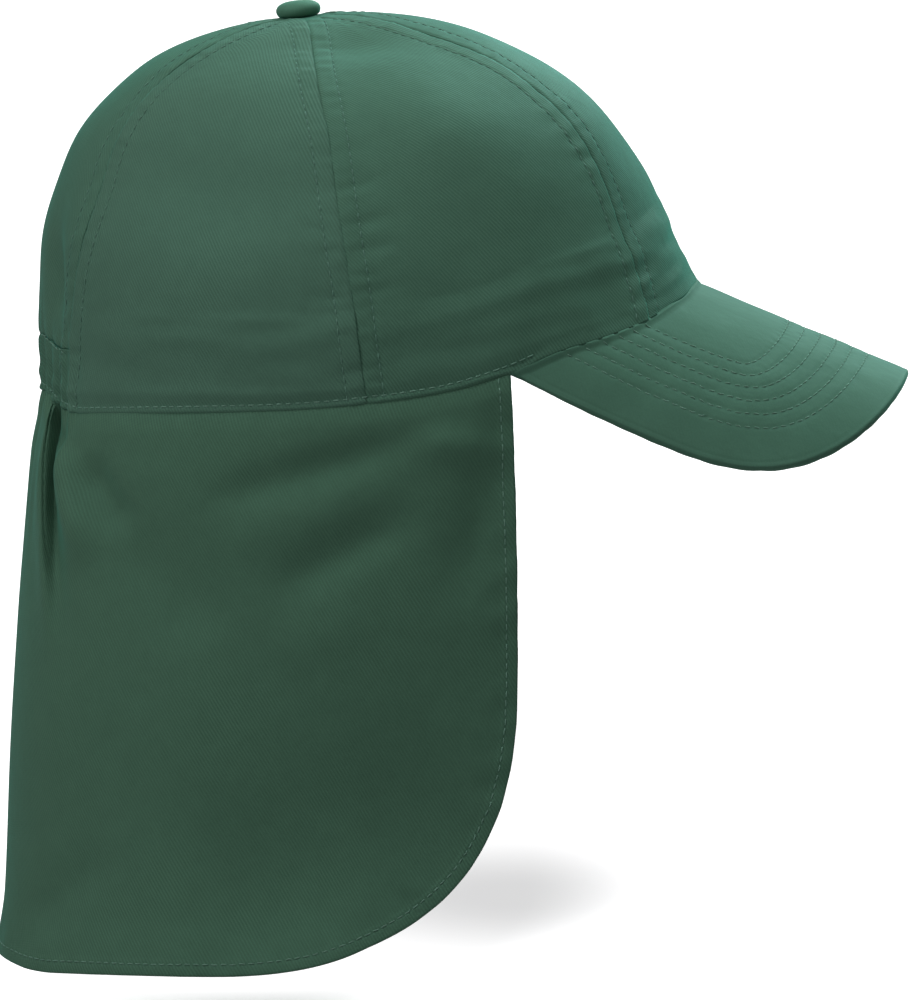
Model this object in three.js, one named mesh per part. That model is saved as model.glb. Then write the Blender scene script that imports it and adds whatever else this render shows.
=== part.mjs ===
import * as THREE from 'three';

// Legionnaire cap. Millimetres, +X forward over the peak, +Y the wearer's left, +Z up.
// The origin is the middle of the head opening, at the height of the rim beside the ears.
// A bearing is an angle round the crown in degrees: 0 at the front, 90 at the left, 180 at the back.

// Crown
const CROWN_HEIGHT = 117.3;
const FRONT_REACH = 106.6;
const BACK_REACH = 99.4;
const HALF_WIDTH = 78;
const CROWN_LEAN = 21;
const CROWN_WALL = 1.6;
const FRONT_RISE = 37;
const SEAM_SINK = 1;
const EYELET_RADIUS = 3;

// Elastic casing and gathers at the back
const CASING_HEIGHT = 17;
const GATHER_COUNT = 9;
const GATHER_DEPTH = 0.9;
const GATHER_REACH = 60;
const GATHER_FADE_ANGLE = 8;

// Peak
const PEAK_LENGTH = 69.5;
const PEAK_HALF_WIDTH = 91;
const PEAK_SHOULDER = 5;
const PEAK_SLOPE = 22.9;
const PEAK_BEND_RADIUS = 77;
const PEAK_THICKNESS = 3.2;
const PEAK_ROUNDNESS = 2.85;
const PEAK_NOSE_SHARE = 0.76;
const PEAK_SIDE_CURVE = 2.5;
const PEAK_CORNER_START = 0.82;
const PEAK_CORNER_LENGTH = 3;
const PEAK_CORNER_BEARING = 66.7;

// Neck flap
const FLAP_LENGTH = 172;
const FLAP_WALL = 1.2;
const BACK_FLARE = 11.7;
const FRONT_FLARE = 2.7;
const SIDE_DRAW = 7;
const CORNER_CUT = 88;
const CORNER_SPAN = 51;
const CORNER_ROUNDNESS = 2.55;
const FOLD_DEPTH = 3;
const FOLD_WIDTH = 10;
const FOLD_START = 14;
const BACK_HEM_RISE = 5;
const BACK_HEM_ANGLE = 30;

// Button
const BUTTON_RADIUS = 6.8;
const BUTTON_HEIGHT = 4.9;
const BUTTON_EDGE_HEIGHT = 2.1;
const BUTTON_FOOT_RADIUS = 5.3;
const BUTTON_TILT = 6;

// Gaps between pieces that are sewn together, and how far the peak stands out from the rim
const SEAM_GAP = 0.3;
const RIM_GAP = 0.5;
const PEAK_STEP = 0.7;
const FLAP_FRONT_GAP_ANGLE = 0.3;

// Mesh steps
const PANEL_COLUMNS = 8;
const PANEL_ROWS = 12;
const FLAP_ROWS_COUNT = 13;
const FLAP_CORNER_COLUMNS = 9;
const FLAP_COLUMN_ANGLE = 4.2;
const COLUMNS_PER_GATHER = 2.5;
const PEAK_COLUMNS = 30;
const PEAK_ROWS = 6;

// The crown's upright curves at its front, side and back, from the rim plane to the button.
// The columns called up are shares of CROWN_HEIGHT, the others of FRONT_REACH, HALF_WIDTH and BACK_REACH.
const CROWN_ROWS = [
  { rise: 0.0, frontUp: 0.0, front: 1.116, sideUp: 0.0, side: 1.0, backUp: 0.0, back: 1.0 },
  { rise: 0.1, frontUp: 0.153, front: 1.06, sideUp: 0.141, side: 1.013, backUp: 0.146, back: 0.971 },
  { rise: 0.2, frontUp: 0.307, front: 1.003, sideUp: 0.281, side: 1.006, backUp: 0.292, back: 0.945 },
  { rise: 0.3, frontUp: 0.462, front: 0.947, sideUp: 0.42, side: 0.978, backUp: 0.436, back: 0.902 },
  { rise: 0.4, frontUp: 0.618, front: 0.899, sideUp: 0.554, side: 0.92, backUp: 0.571, back: 0.829 },
  { rise: 0.5, frontUp: 0.763, front: 0.815, sideUp: 0.678, side: 0.827, backUp: 0.695, back: 0.741 },
  { rise: 0.6, frontUp: 0.874, front: 0.685, sideUp: 0.784, side: 0.699, backUp: 0.795, back: 0.63 },
  { rise: 0.7, frontUp: 0.951, front: 0.528, sideUp: 0.87, side: 0.538, backUp: 0.881, back: 0.492 },
  { rise: 0.8, frontUp: 0.996, front: 0.358, sideUp: 0.94, side: 0.363, backUp: 0.943, back: 0.335 },
  { rise: 0.9, frontUp: 1.011, front: 0.183, sideUp: 0.986, side: 0.183, backUp: 0.982, back: 0.166 },
  { rise: 1.0, frontUp: 1.0, front: 0.0, sideUp: 1.0, side: 0.0, backUp: 1.0, back: 0.0 },
];

// The lower edge of the crown, as shares of FRONT_RISE.
const RIM_ROWS = [
  { bearing: 0, height: 1.0 },
  { bearing: 22, height: 0.86 },
  { bearing: 36, height: 0.7 },
  { bearing: 48, height: 0.57 },
  { bearing: 57, height: 0.47 },
  { bearing: 67, height: 0.3 },
  { bearing: 77, height: 0.15 },
  { bearing: 90, height: 0.045 },
  { bearing: 105, height: 0.0 },
  { bearing: 145, height: -0.04 },
  { bearing: 153, height: -0.05 },
  { bearing: 161, height: 0.0 },
  { bearing: 172, height: 0.09 },
  { bearing: 180, height: 0.1 },
];

// Bearings of the front, side and back seams on their way up.
const SEAM_ROWS = [
  { rise: 0.0, front: 40, side: 90, back: 157 },
  { rise: 0.1, front: 37.5, side: 89.7, back: 155.5 },
  { rise: 0.2, front: 32.5, side: 89.2, back: 153 },
  { rise: 0.35, front: 29, side: 88.8, back: 149.5 },
  { rise: 0.5, front: 28.3, side: 88, back: 148.5 },
  { rise: 0.7, front: 30.5, side: 87.3, back: 143.5 },
  { rise: 0.85, front: 32, side: 84.5, back: 136 },
  { rise: 1.0, front: 32, side: 82, back: 132 },
];

// Hollows in the crown: a share of FOLD_DEPTH, centred at a bearing and rise.
const DENT_ROWS = [
  { bearing: 165, rise: 0.24, width: 4, tall: 0.09, depth: 0.7 },
  { bearing: 150, rise: 0.1, width: 6, tall: 0.05, depth: 0.25 },
  { bearing: 44, rise: 0.2, width: 5, tall: 0.05, depth: 0.3 },
  { bearing: 120, rise: 0.3, width: 16, tall: 0.12, depth: 0.3 },
];

// How the hanging flap departs from the rim, as shares of BACK_FLARE, SIDE_DRAW and FRONT_FLARE.
const FLAP_ROWS = [
  { drop: 0.0, back: 0.0, side: 0.0, front: 0.0 },
  { drop: 0.06, back: 0.1, side: 0.03, front: 0.3 },
  { drop: 0.16, back: 0.32, side: 0.12, front: 0.6 },
  { drop: 0.33, back: 0.57, side: 0.4, front: 0.9 },
  { drop: 0.5, back: 0.74, side: 0.72, front: 1.0 },
  { drop: 0.7, back: 0.85, side: 0.97, front: 1.0 },
  { drop: 0.88, back: 0.94, side: 1.0, front: 1.0 },
  { drop: 1.0, back: 1.0, side: 0.86, front: 1.0 },
];

// Folds of one side of the flap, the other side the same. Each runs from one bearing and drop to
// another. Width is a share of FOLD_WIDTH, depth of FOLD_DEPTH, below nought for a valley.
const FOLD_ROWS = [
  { fromBearing: 166, fromDrop: 0.0, toBearing: 157, toDrop: 0.34, width: 0.55, depth: -1.0 },
  { fromBearing: 159, fromDrop: 0.0, toBearing: 155, toDrop: 0.09, width: 0.35, depth: -0.5 },
  { fromBearing: 157, fromDrop: 0.05, toBearing: 140, toDrop: 0.17, width: 0.6, depth: 0.45 },
  { fromBearing: 140, fromDrop: 0.07, toBearing: 129, toDrop: 0.19, width: 0.9, depth: -0.5 },
  { fromBearing: 129, fromDrop: 0.19, toBearing: 111, toDrop: 0.42, width: 1.1, depth: -0.5 },
  { fromBearing: 113, fromDrop: 0.08, toBearing: 84, toDrop: 0.04, width: 0.6, depth: -0.4 },
  { fromBearing: 101, fromDrop: 0.27, toBearing: 85, toDrop: 0.15, width: 0.8, depth: -0.45 },
  { fromBearing: 104, fromDrop: 0.34, toBearing: 84, toDrop: 0.25, width: 0.8, depth: 0.4 },
  { fromBearing: 70, fromDrop: 0.04, toBearing: 84, toDrop: 0.34, width: 0.9, depth: -0.5 },
  { fromBearing: 78, fromDrop: 0.4, toBearing: 94, toDrop: 0.7, width: 2.6, depth: -0.9 },
  { fromBearing: 124, fromDrop: 0.75, toBearing: 116, toDrop: 1.0, width: 1.6, depth: -0.4 },
  { fromBearing: 141, fromDrop: 0.6, toBearing: 137, toDrop: 1.0, width: 1.5, depth: 0.4 },
];

function radians(degrees) {
  return (degrees * Math.PI) / 180;
}

function mix(from, to, share) {
  return from + (to - from) * share;
}

function clamped(value) {
  return Math.min(Math.max(value, 0), 1);
}

// A smooth step from 0 to 1.
function eased(share) {
  const s = clamped(share);
  return s * s * (3 - 2 * s);
}

// The bearing of the same place counted from the front, the same on both sides: 0 to 180.
function fromFront(bearing) {
  return Math.abs(bearing > 180 ? bearing - 360 : bearing);
}

// Reads a table's column between its rows, along a smooth curve. With level ends, the curve starts
// and finishes flat, as at the middle of the front and back.
function readTable(rows, key, column, at, levelEnds = false) {
  const last = rows.length - 1;
  let i = 0;
  while (i < last - 1 && at > rows[i + 1][key]) i += 1;
  const slope = (k) => {
    if (levelEnds && (k === 0 || k === last)) return 0;
    const before = rows[Math.max(k - 1, 0)];
    const after = rows[Math.min(k + 1, last)];
    return (after[column] - before[column]) / (after[key] - before[key]);
  };
  const from = rows[i];
  const to = rows[i + 1];
  const span = to[key] - from[key];
  const s = clamped((at - from[key]) / span);
  const s2 = s * s;
  const s3 = s2 * s;
  return (2 * s3 - 3 * s2 + 1) * from[column] + (s3 - 2 * s2 + s) * span * slope(i)
    + (3 * s2 - 2 * s3) * to[column] + (s3 - s2) * span * slope(i + 1);
}

// Where a rising function of one number reaches a value.
function solve(rising, value, low, high) {
  let a = low;
  let b = high;
  for (let step = 0; step < 24; step += 1) {
    const middle = (a + b) / 2;
    if (rising(middle) < value) a = middle;
    else b = middle;
  }
  return (a + b) / 2;
}

// The smooth dome before its dents: x leans back with height, and each seam lies a little inward.
function domePoint(bearing, rise) {
  const fore = Math.cos(radians(bearing));
  const end = fore > 0 ? 'front' : 'back';
  const endReach = fore > 0 ? FRONT_REACH : BACK_REACH;
  const sideHeight = readTable(CROWN_ROWS, 'rise', 'sideUp', rise);
  const endHeight = readTable(CROWN_ROWS, 'rise', `${end}Up`, rise);
  const height = mix(sideHeight, endHeight, fore * fore);
  const atSeam = (1 - Math.cos(radians(6 * bearing))) / 2;
  const sink = 1 - (SEAM_SINK / HALF_WIDTH) * atSeam * Math.sin(Math.PI * rise);
  return new THREE.Vector3(
    endReach * readTable(CROWN_ROWS, 'rise', end, rise) * fore * sink - CROWN_LEAN * height,
    HALF_WIDTH * readTable(CROWN_ROWS, 'rise', 'side', rise) * Math.sin(radians(bearing)) * sink,
    CROWN_HEIGHT * height,
  );
}

function domeNormal(bearing, rise) {
  const turn = 0.5;
  const lift = 0.004;
  const round = domePoint(bearing + turn, rise).sub(domePoint(bearing - turn, rise));
  const up = domePoint(bearing, Math.min(rise + lift, 1)).sub(domePoint(bearing, Math.max(rise - lift, 0)));
  return round.cross(up).normalize();
}

function riseAtHeight(bearing, height) {
  return solve((rise) => domePoint(bearing, rise).z, height, 0, 0.7);
}

function rimHeight(bearing) {
  return FRONT_RISE * readTable(RIM_ROWS, 'bearing', 'height', fromFront(bearing), true);
}

function rimRise(bearing) {
  return riseAtHeight(bearing, Math.max(rimHeight(bearing), 0));
}

// The rim's outer line. Where it dips below the rim plane it hangs straight down from it.
const rimPoints = new Map();

function rimPoint(bearing) {
  if (!rimPoints.has(bearing)) {
    const point = domePoint(bearing, rimRise(bearing));
    point.z = rimHeight(bearing);
    rimPoints.set(bearing, point);
  }
  return rimPoints.get(bearing).clone();
}

// Vertical gathers of the back, strongest at the rim: out and in by up to GATHER_DEPTH.
function gather(bearing, below) {
  const backSeam = readTable(SEAM_ROWS, 'rise', 'back', 0);
  const fromBack = 180 - fromFront(bearing);
  const half = 180 - backSeam;
  const sideFade = 1 - eased((fromBack - half) / GATHER_FADE_ANGLE);
  const fade = 1 - eased(below / GATHER_REACH);
  return GATHER_DEPTH * Math.cos(radians(fromBack * GATHER_COUNT * 180 / half)) * sideFade * fade;
}

function dentDepth(bearing, rise) {
  let depth = 0;
  for (const dent of DENT_ROWS) {
    const round = (fromFront(bearing) - dent.bearing) / dent.width;
    const up = (rise - dent.rise) / dent.tall;
    depth += dent.depth * FOLD_DEPTH * Math.exp(-round * round - up * up);
  }
  return depth;
}

// The crown cloth: the outer face at depth 0, the inner face at depth CROWN_WALL. Its lower edge is
// cut level.
function crownPoint(bearing, rise, depth) {
  const foot = rimHeight(bearing);
  const point = domePoint(bearing, rise);
  const above = point.z - foot;
  point.z += Math.min(foot, 0) * (1 - eased(above / CASING_HEIGHT));
  const ripple = gather(bearing, above * GATHER_REACH / CASING_HEIGHT / 2);
  const outward = domeNormal(bearing, rise);
  outward.z *= eased(above / (4 * CROWN_WALL));
  return point.addScaledVector(outward.normalize(), ripple - dentDepth(bearing, rise) - depth);
}

// A closed wall between two grids of points. Rows climb and columns run anticlockwise, seen from
// outside, and strips close the four edges.
function wallGeometry(outer, inner) {
  const rows = outer.length;
  const columns = outer[0].length;
  const positions = [];
  for (const grid of [outer, inner]) {
    for (const row of grid) {
      for (const point of row) positions.push(point.x, point.y, point.z);
    }
  }
  const index = [];
  const at = (face, i, j) => (face * rows + i) * columns + j;
  const quad = (a, b, c, d) => index.push(a, b, c, a, c, d);
  for (let i = 0; i < rows - 1; i += 1) {
    for (let j = 0; j < columns - 1; j += 1) {
      quad(at(0, i, j), at(0, i, j + 1), at(0, i + 1, j + 1), at(0, i + 1, j));
      quad(at(1, i, j), at(1, i + 1, j), at(1, i + 1, j + 1), at(1, i, j + 1));
    }
    quad(at(0, i, 0), at(0, i + 1, 0), at(1, i + 1, 0), at(1, i, 0));
    const end = columns - 1;
    quad(at(0, i, end), at(1, i, end), at(1, i + 1, end), at(0, i + 1, end));
  }
  for (let j = 0; j < columns - 1; j += 1) {
    quad(at(0, 0, j), at(1, 0, j), at(1, 0, j + 1), at(0, 0, j + 1));
    const top = rows - 1;
    quad(at(0, top, j), at(0, top, j + 1), at(1, top, j + 1), at(1, top, j));
  }
  const geometry = new THREE.BufferGeometry();
  geometry.setAttribute('position', new THREE.Float32BufferAttribute(positions, 3));
  geometry.setIndex(index);
  geometry.computeVertexNormals();
  return geometry;
}

// Two grids from a function of row share, column share and depth.
function wallFrom(rows, columns, wall, pointAt) {
  const grid = (depth) => {
    const points = [];
    for (let i = 0; i <= rows; i += 1) {
      const row = [];
      for (let j = 0; j <= columns; j += 1) row.push(pointAt(i / rows, j / columns, depth));
      points.push(row);
    }
    return points;
  };
  return wallGeometry(grid(0), grid(wall));
}

// The bearing of a seam: front, side or back, on the left (1) or the right (-1).
function seamBearing(seam, side, rise) {
  return side * readTable(SEAM_ROWS, 'rise', seam, rise);
}

// Half the gap between two panels, in degrees round the crown.
function halfGapAngle(bearing, rise) {
  const turn = 0.5;
  const arc = domePoint(bearing + turn, rise).distanceTo(domePoint(bearing - turn, rise));
  return (SEAM_GAP / 2) * (2 * turn / arc);
}

// The panels stop at this rise, round the hole that the button covers.
const EYELET_RISE = solve((rise) => -domePoint(90, rise).y, -EYELET_RADIUS, 0.8, 1);
const atEyelet = () => EYELET_RISE;

// A stretch of crown cloth between two seams, from a foot to a head, both given as rises by bearing.
// The bearing depends on the rise and the rise on the bearing, so each is worked out in turn.
function crownWall(fromSeam, toSeam, footAt, headAt, rows, columns) {
  return wallFrom(rows, columns, CROWN_WALL, (up, round, depth) => {
    const bearingAt = (rise) => {
      const low = fromSeam(rise);
      const high = toSeam(rise);
      return mix(low + halfGapAngle(low, rise), high - halfGapAngle(high, rise), round);
    };
    let bearing = bearingAt(0.5);
    let rise = 0.5;
    for (let pass = 0; pass < 3; pass += 1) {
      rise = mix(footAt(bearing), headAt(bearing), up);
      bearing = bearingAt(rise);
    }
    return crownPoint(bearing, rise, depth);
  });
}

function frontPanel() {
  const right = (rise) => seamBearing('front', -1, rise);
  const left = (rise) => seamBearing('front', 1, rise);
  return crownWall(right, left, rimRise, atEyelet, PANEL_ROWS, PANEL_COLUMNS);
}

function sidePanel(nearSeam, farSeam, side) {
  const near = (rise) => seamBearing(nearSeam, side, rise);
  const far = (rise) => seamBearing(farSeam, side, rise);
  const from = side > 0 ? near : far;
  const to = side > 0 ? far : near;
  return crownWall(from, to, rimRise, atEyelet, PANEL_ROWS, PANEL_COLUMNS);
}

// Bearings across the back run on past 180 to the right side's seam.
function backSeams() {
  return {
    left: (rise) => seamBearing('back', 1, rise),
    right: (rise) => 360 + seamBearing('back', -1, rise),
  };
}

function casingTopRise(bearing, gap) {
  return riseAtHeight(bearing, CASING_HEIGHT + Math.max(rimHeight(bearing), 0) + gap);
}

function backPanel() {
  const { left, right } = backSeams();
  const foot = (bearing) => casingTopRise(bearing, SEAM_GAP);
  return crownWall(left, right, foot, atEyelet, PANEL_ROWS, 2 * PANEL_COLUMNS);
}

function elasticCasing() {
  const { left, right } = backSeams();
  const head = (bearing) => casingTopRise(bearing, 0);
  return crownWall(left, right, rimRise, head, 3, 4 * PANEL_COLUMNS);
}

// A point of the line where the peak meets the crown, just under the rim and a little outside it.
function peakLine(bearing) {
  const outward = domeNormal(bearing, rimRise(bearing)).setZ(0).normalize();
  const point = rimPoint(bearing).addScaledVector(outward, PEAK_STEP);
  point.z -= SEAM_GAP;
  return point;
}

// The peak's frame: it starts at the middle of the front rim and slopes down and forward.
function peakFrame() {
  const slope = radians(PEAK_SLOPE);
  return {
    root: peakLine(0),
    forward: new THREE.Vector3(Math.cos(slope), 0, -Math.sin(slope)),
    normal: new THREE.Vector3(Math.sin(slope), 0, Math.cos(slope)),
  };
}

// A place on the flat-cut peak, bent over its round form: across, forward, and lifted off its face.
function bentPoint(frame, place) {
  const angle = place.across / PEAK_BEND_RADIUS;
  const radius = PEAK_BEND_RADIUS + place.lift;
  const point = frame.root.clone();
  point.addScaledVector(frame.forward, place.forward);
  point.addScaledVector(frame.normal, radius * Math.cos(angle) - PEAK_BEND_RADIUS);
  point.y += radius * Math.sin(angle);
  return point;
}

// The same, backwards: the flat place of a point in space.
function flatPlace(frame, point) {
  const from = point.clone().sub(frame.root);
  const up = from.dot(frame.normal) + PEAK_BEND_RADIUS;
  const angle = Math.atan2(from.y, up);
  return {
    across: PEAK_BEND_RADIUS * angle,
    forward: from.dot(frame.forward),
    lift: Math.hypot(from.y, up) - PEAK_BEND_RADIUS,
  };
}

// The joint line under the crown's front rim, at a share from the right corner (-1) to the left (1).
function peakJoint(frame, share) {
  return flatPlace(frame, peakLine(share * PEAK_CORNER_BEARING));
}

// The outer edge, from the nose round the shoulder and back to the corner.
function peakEdge(frame, share) {
  const side = Math.sign(share) || 1;
  const along = Math.abs(share);
  if (along <= PEAK_NOSE_SHARE) {
    const angle = (along / PEAK_NOSE_SHARE) * Math.PI / 2;
    const power = 2 / PEAK_ROUNDNESS;
    return {
      across: side * PEAK_HALF_WIDTH * Math.sin(angle) ** power,
      forward: PEAK_SHOULDER + (PEAK_LENGTH - PEAK_SHOULDER) * Math.max(Math.cos(angle), 0) ** power,
      lift: 0,
    };
  }
  const corner = peakJoint(frame, side);
  const back = (along - PEAK_NOSE_SHARE) / (1 - PEAK_NOSE_SHARE);
  return {
    across: side * mix(PEAK_HALF_WIDTH, Math.abs(corner.across), back ** PEAK_SIDE_CURVE),
    forward: mix(PEAK_SHOULDER, corner.forward + PEAK_CORNER_LENGTH, back),
    lift: corner.lift * back,
  };
}

// The peak thins to half at its corners, and its outer edge is rounded by half of what is left.
function peak() {
  const frame = peakFrame();
  return wallFrom(PEAK_ROWS, PEAK_COLUMNS, PEAK_THICKNESS, (up, round, depth) => {
    const share = 2 * round - 1;
    const joint = peakJoint(frame, share);
    const edge = peakEdge(frame, share);
    const out = 1 - up;
    const atCorner = eased((Math.abs(share) - PEAK_CORNER_START) / (1 - PEAK_CORNER_START));
    const thickness = PEAK_THICKNESS * (1 - atCorner / 2);
    const rounding = up === 0 ? thickness / 4 : 0;
    const below = depth > 0 ? thickness - rounding : rounding;
    return bentPoint(frame, {
      across: mix(joint.across, edge.across, out),
      forward: mix(joint.forward, edge.forward, out),
      lift: mix(joint.lift, edge.lift, out) - below,
    });
  });
}

// Distance in millimetres on the flat flap from a place to a fold's line.
function foldDistance(fold, bearing, drop) {
  const perDegree = radians(1) * (BACK_REACH + HALF_WIDTH) / 2;
  const from = new THREE.Vector2(fold.fromBearing * perDegree, fold.fromDrop * FLAP_LENGTH);
  const to = new THREE.Vector2(fold.toBearing * perDegree, fold.toDrop * FLAP_LENGTH);
  const place = new THREE.Vector2(bearing * perDegree, drop * FLAP_LENGTH);
  const line = to.clone().sub(from);
  const share = clamped(place.clone().sub(from).dot(line) / line.lengthSq());
  return place.distanceTo(from.addScaledVector(line, share));
}

function foldHeight(bearing, drop) {
  let height = 0;
  for (const fold of FOLD_ROWS) {
    const away = foldDistance(fold, fromFront(bearing), drop) / (fold.width * FOLD_WIDTH);
    height += fold.depth * FOLD_DEPTH * Math.exp(-away * away);
  }
  return height * eased(drop * FLAP_LENGTH / FOLD_START);
}

// The hanging cloth before its folds, at a bearing and a drop from the rim (0) to the hem line (1).
function hangingPoint(bearing, drop) {
  const fore = Math.cos(radians(bearing));
  const rim = rimPoint(bearing);
  const corner = Math.cos(radians(PEAK_CORNER_BEARING));
  const flare = fore > 0
    ? FRONT_FLARE * readTable(FLAP_ROWS, 'drop', 'front', drop) * eased(fore / corner)
    : -BACK_FLARE * readTable(FLAP_ROWS, 'drop', 'back', drop) * fore * fore;
  const draw = 1 - (SIDE_DRAW / HALF_WIDTH) * readTable(FLAP_ROWS, 'drop', 'side', drop);
  const top = rim.z - RIM_GAP;
  const hemRise = BACK_HEM_RISE * (1 - eased((180 - fromFront(bearing)) / BACK_HEM_ANGLE));
  return new THREE.Vector3(rim.x + flare, rim.y * draw, mix(top, hemRise - FLAP_LENGTH, drop));
}

function flapPoint(bearing, drop, depth) {
  const turn = 0.5;
  const point = hangingPoint(bearing, drop);
  const round = hangingPoint(bearing + turn, drop).sub(hangingPoint(bearing - turn, drop));
  const outward = new THREE.Vector3(round.y, -round.x, 0).normalize();
  const out = gather(bearing, drop * FLAP_LENGTH) + foldHeight(bearing, drop);
  return point.addScaledVector(outward, out - depth);
}

// The columns of the flap, from its front edge to the middle of the back: a bearing and how far
// the column falls. Those of the rounded lower corner lie on a superellipse.
function flapColumns() {
  const start = PEAK_CORNER_BEARING + FLAP_FRONT_GAP_ANGLE;
  const gathered = readTable(SEAM_ROWS, 'rise', 'back', 0);
  const power = 2 / CORNER_ROUNDNESS;
  const columns = [];
  for (let k = 0; k <= FLAP_CORNER_COLUMNS; k += 1) {
    const angle = (k / FLAP_CORNER_COLUMNS) * Math.PI / 2;
    const away = 1 - Math.max(Math.cos(angle), 0) ** power;
    const cut = 1 - Math.sin(angle) ** power;
    columns.push({ bearing: start + CORNER_SPAN * away, fall: 1 - (CORNER_CUT / FLAP_LENGTH) * cut });
  }
  const addStretch = (from, to, steps) => {
    for (let k = 1; k <= steps; k += 1) columns.push({ bearing: mix(from, to, k / steps), fall: 1 });
  };
  const cornerEnd = start + CORNER_SPAN;
  addStretch(cornerEnd, gathered, Math.ceil((gathered - cornerEnd) / FLAP_COLUMN_ANGLE));
  addStretch(gathered, 180, Math.ceil(COLUMNS_PER_GATHER * GATHER_COUNT));
  return columns;
}

function neckFlap() {
  const left = flapColumns();
  const right = left.slice(0, -1).reverse();
  const columns = [...left, ...right.map(({ bearing, fall }) => ({ bearing: 360 - bearing, fall }))];
  const grid = (depth) => {
    const points = [];
    for (let i = FLAP_ROWS_COUNT; i >= 0; i -= 1) {
      const down = i / FLAP_ROWS_COUNT;
      points.push(columns.map(({ bearing, fall }) => flapPoint(bearing, fall * down, depth)));
    }
    return points;
  };
  return wallGeometry(grid(0), grid(FLAP_WALL));
}

// The cloth-covered button: a rounded edge below, and a low dome above it.
function buttonGeometry() {
  const profile = [new THREE.Vector2(0, 0), new THREE.Vector2(BUTTON_FOOT_RADIUS, 0)];
  const edgeSteps = 4;
  for (let k = 1; k <= edgeSteps; k += 1) {
    const angle = (k / edgeSteps) * Math.PI / 2;
    profile.push(new THREE.Vector2(
      mix(BUTTON_FOOT_RADIUS, BUTTON_RADIUS, Math.sin(angle)),
      BUTTON_EDGE_HEIGHT * (1 - Math.cos(angle)),
    ));
  }
  const domeSteps = 6;
  for (let k = 1; k < domeSteps; k += 1) {
    const angle = (k / domeSteps) * Math.PI / 2;
    profile.push(new THREE.Vector2(
      BUTTON_RADIUS * Math.cos(angle) ** 0.7,
      mix(BUTTON_EDGE_HEIGHT, BUTTON_HEIGHT, Math.sin(angle)),
    ));
  }
  profile.push(new THREE.Vector2(0, BUTTON_HEIGHT));
  return new THREE.LatheGeometry(profile, 24).rotateX(Math.PI / 2);
}

function clothMaterial(color, roughness) {
  return new THREE.MeshStandardMaterial({ color, roughness, metalness: 0 });
}

function addPiece(group, name, geometry, material) {
  const mesh = new THREE.Mesh(geometry, material);
  mesh.name = name;
  group.add(mesh);
  return mesh;
}

const cap = new THREE.Group();
addPiece(cap, 'front_panel', frontPanel(), clothMaterial('#47675a', 0.85));
for (const [word, side] of [['right', -1], ['left', 1]]) {
  const frontSide = sidePanel('front', 'side', side);
  const backSide = sidePanel('side', 'back', side);
  addPiece(cap, `front_side_panel_${word}`, frontSide, clothMaterial('#476757', 0.85));
  addPiece(cap, `back_side_panel_${word}`, backSide, clothMaterial('#426252', 0.85));
}
addPiece(cap, 'back_panel', backPanel(), clothMaterial('#405f50', 0.85));
addPiece(cap, 'elastic_casing', elasticCasing(), clothMaterial('#3c5a4c', 0.88));
addPiece(cap, 'peak', peak(), clothMaterial('#476959', 0.82));
addPiece(cap, 'neck_flap', neckFlap(), clothMaterial('#3a5648', 0.88));

const button = addPiece(cap, 'top_button', buttonGeometry(), clothMaterial('#47695a', 0.85));
button.position.copy(domePoint(0, 1));
button.rotation.y = -radians(BUTTON_TILT);
button.translateZ(SEAM_GAP);

export default cap;
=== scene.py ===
import math

import bpy
import numpy as np
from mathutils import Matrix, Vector
from mathutils.bvhtree import BVHTree
from mathutils.kdtree import KDTree


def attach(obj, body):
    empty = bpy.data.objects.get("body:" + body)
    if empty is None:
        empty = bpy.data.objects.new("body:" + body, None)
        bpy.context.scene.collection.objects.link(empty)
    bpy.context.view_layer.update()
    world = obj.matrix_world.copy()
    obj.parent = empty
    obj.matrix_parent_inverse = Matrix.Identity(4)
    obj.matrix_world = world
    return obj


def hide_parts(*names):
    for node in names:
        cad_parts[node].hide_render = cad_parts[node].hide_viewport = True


# Legionnaire cap. Sizes are millimetres, turned to metres as each mesh is made. +X is forward over
# the peak, +Y the wearer's left, +Z up. A bearing is an angle round the crown in degrees: 0 at the
# front, 90 at the left, 180 at the back. The main shapes are worked out as the solids are.

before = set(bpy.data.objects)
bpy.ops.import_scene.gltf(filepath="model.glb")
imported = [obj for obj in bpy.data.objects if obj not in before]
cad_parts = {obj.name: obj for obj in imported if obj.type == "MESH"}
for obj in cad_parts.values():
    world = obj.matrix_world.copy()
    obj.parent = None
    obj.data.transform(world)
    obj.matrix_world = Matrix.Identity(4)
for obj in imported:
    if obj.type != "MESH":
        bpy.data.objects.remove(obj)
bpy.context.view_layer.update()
MM = 0.001

# Crown
CROWN_HEIGHT = 117.3
FRONT_REACH = 106.6
BACK_REACH = 99.4
HALF_WIDTH = 78
CROWN_LEAN = 21
FRONT_RISE = 37
SEAM_SINK = 1
EYELET_RADIUS = 3
CROWN_PATH = 125
CROWN_CLOTH = 1.2
PANEL_LAP = 0.2
FOOT_LEVEL_REACH = 6.4
CLOTH_WANDER = 0.28
CLOTH_WANDER_SIZE = 46

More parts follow.
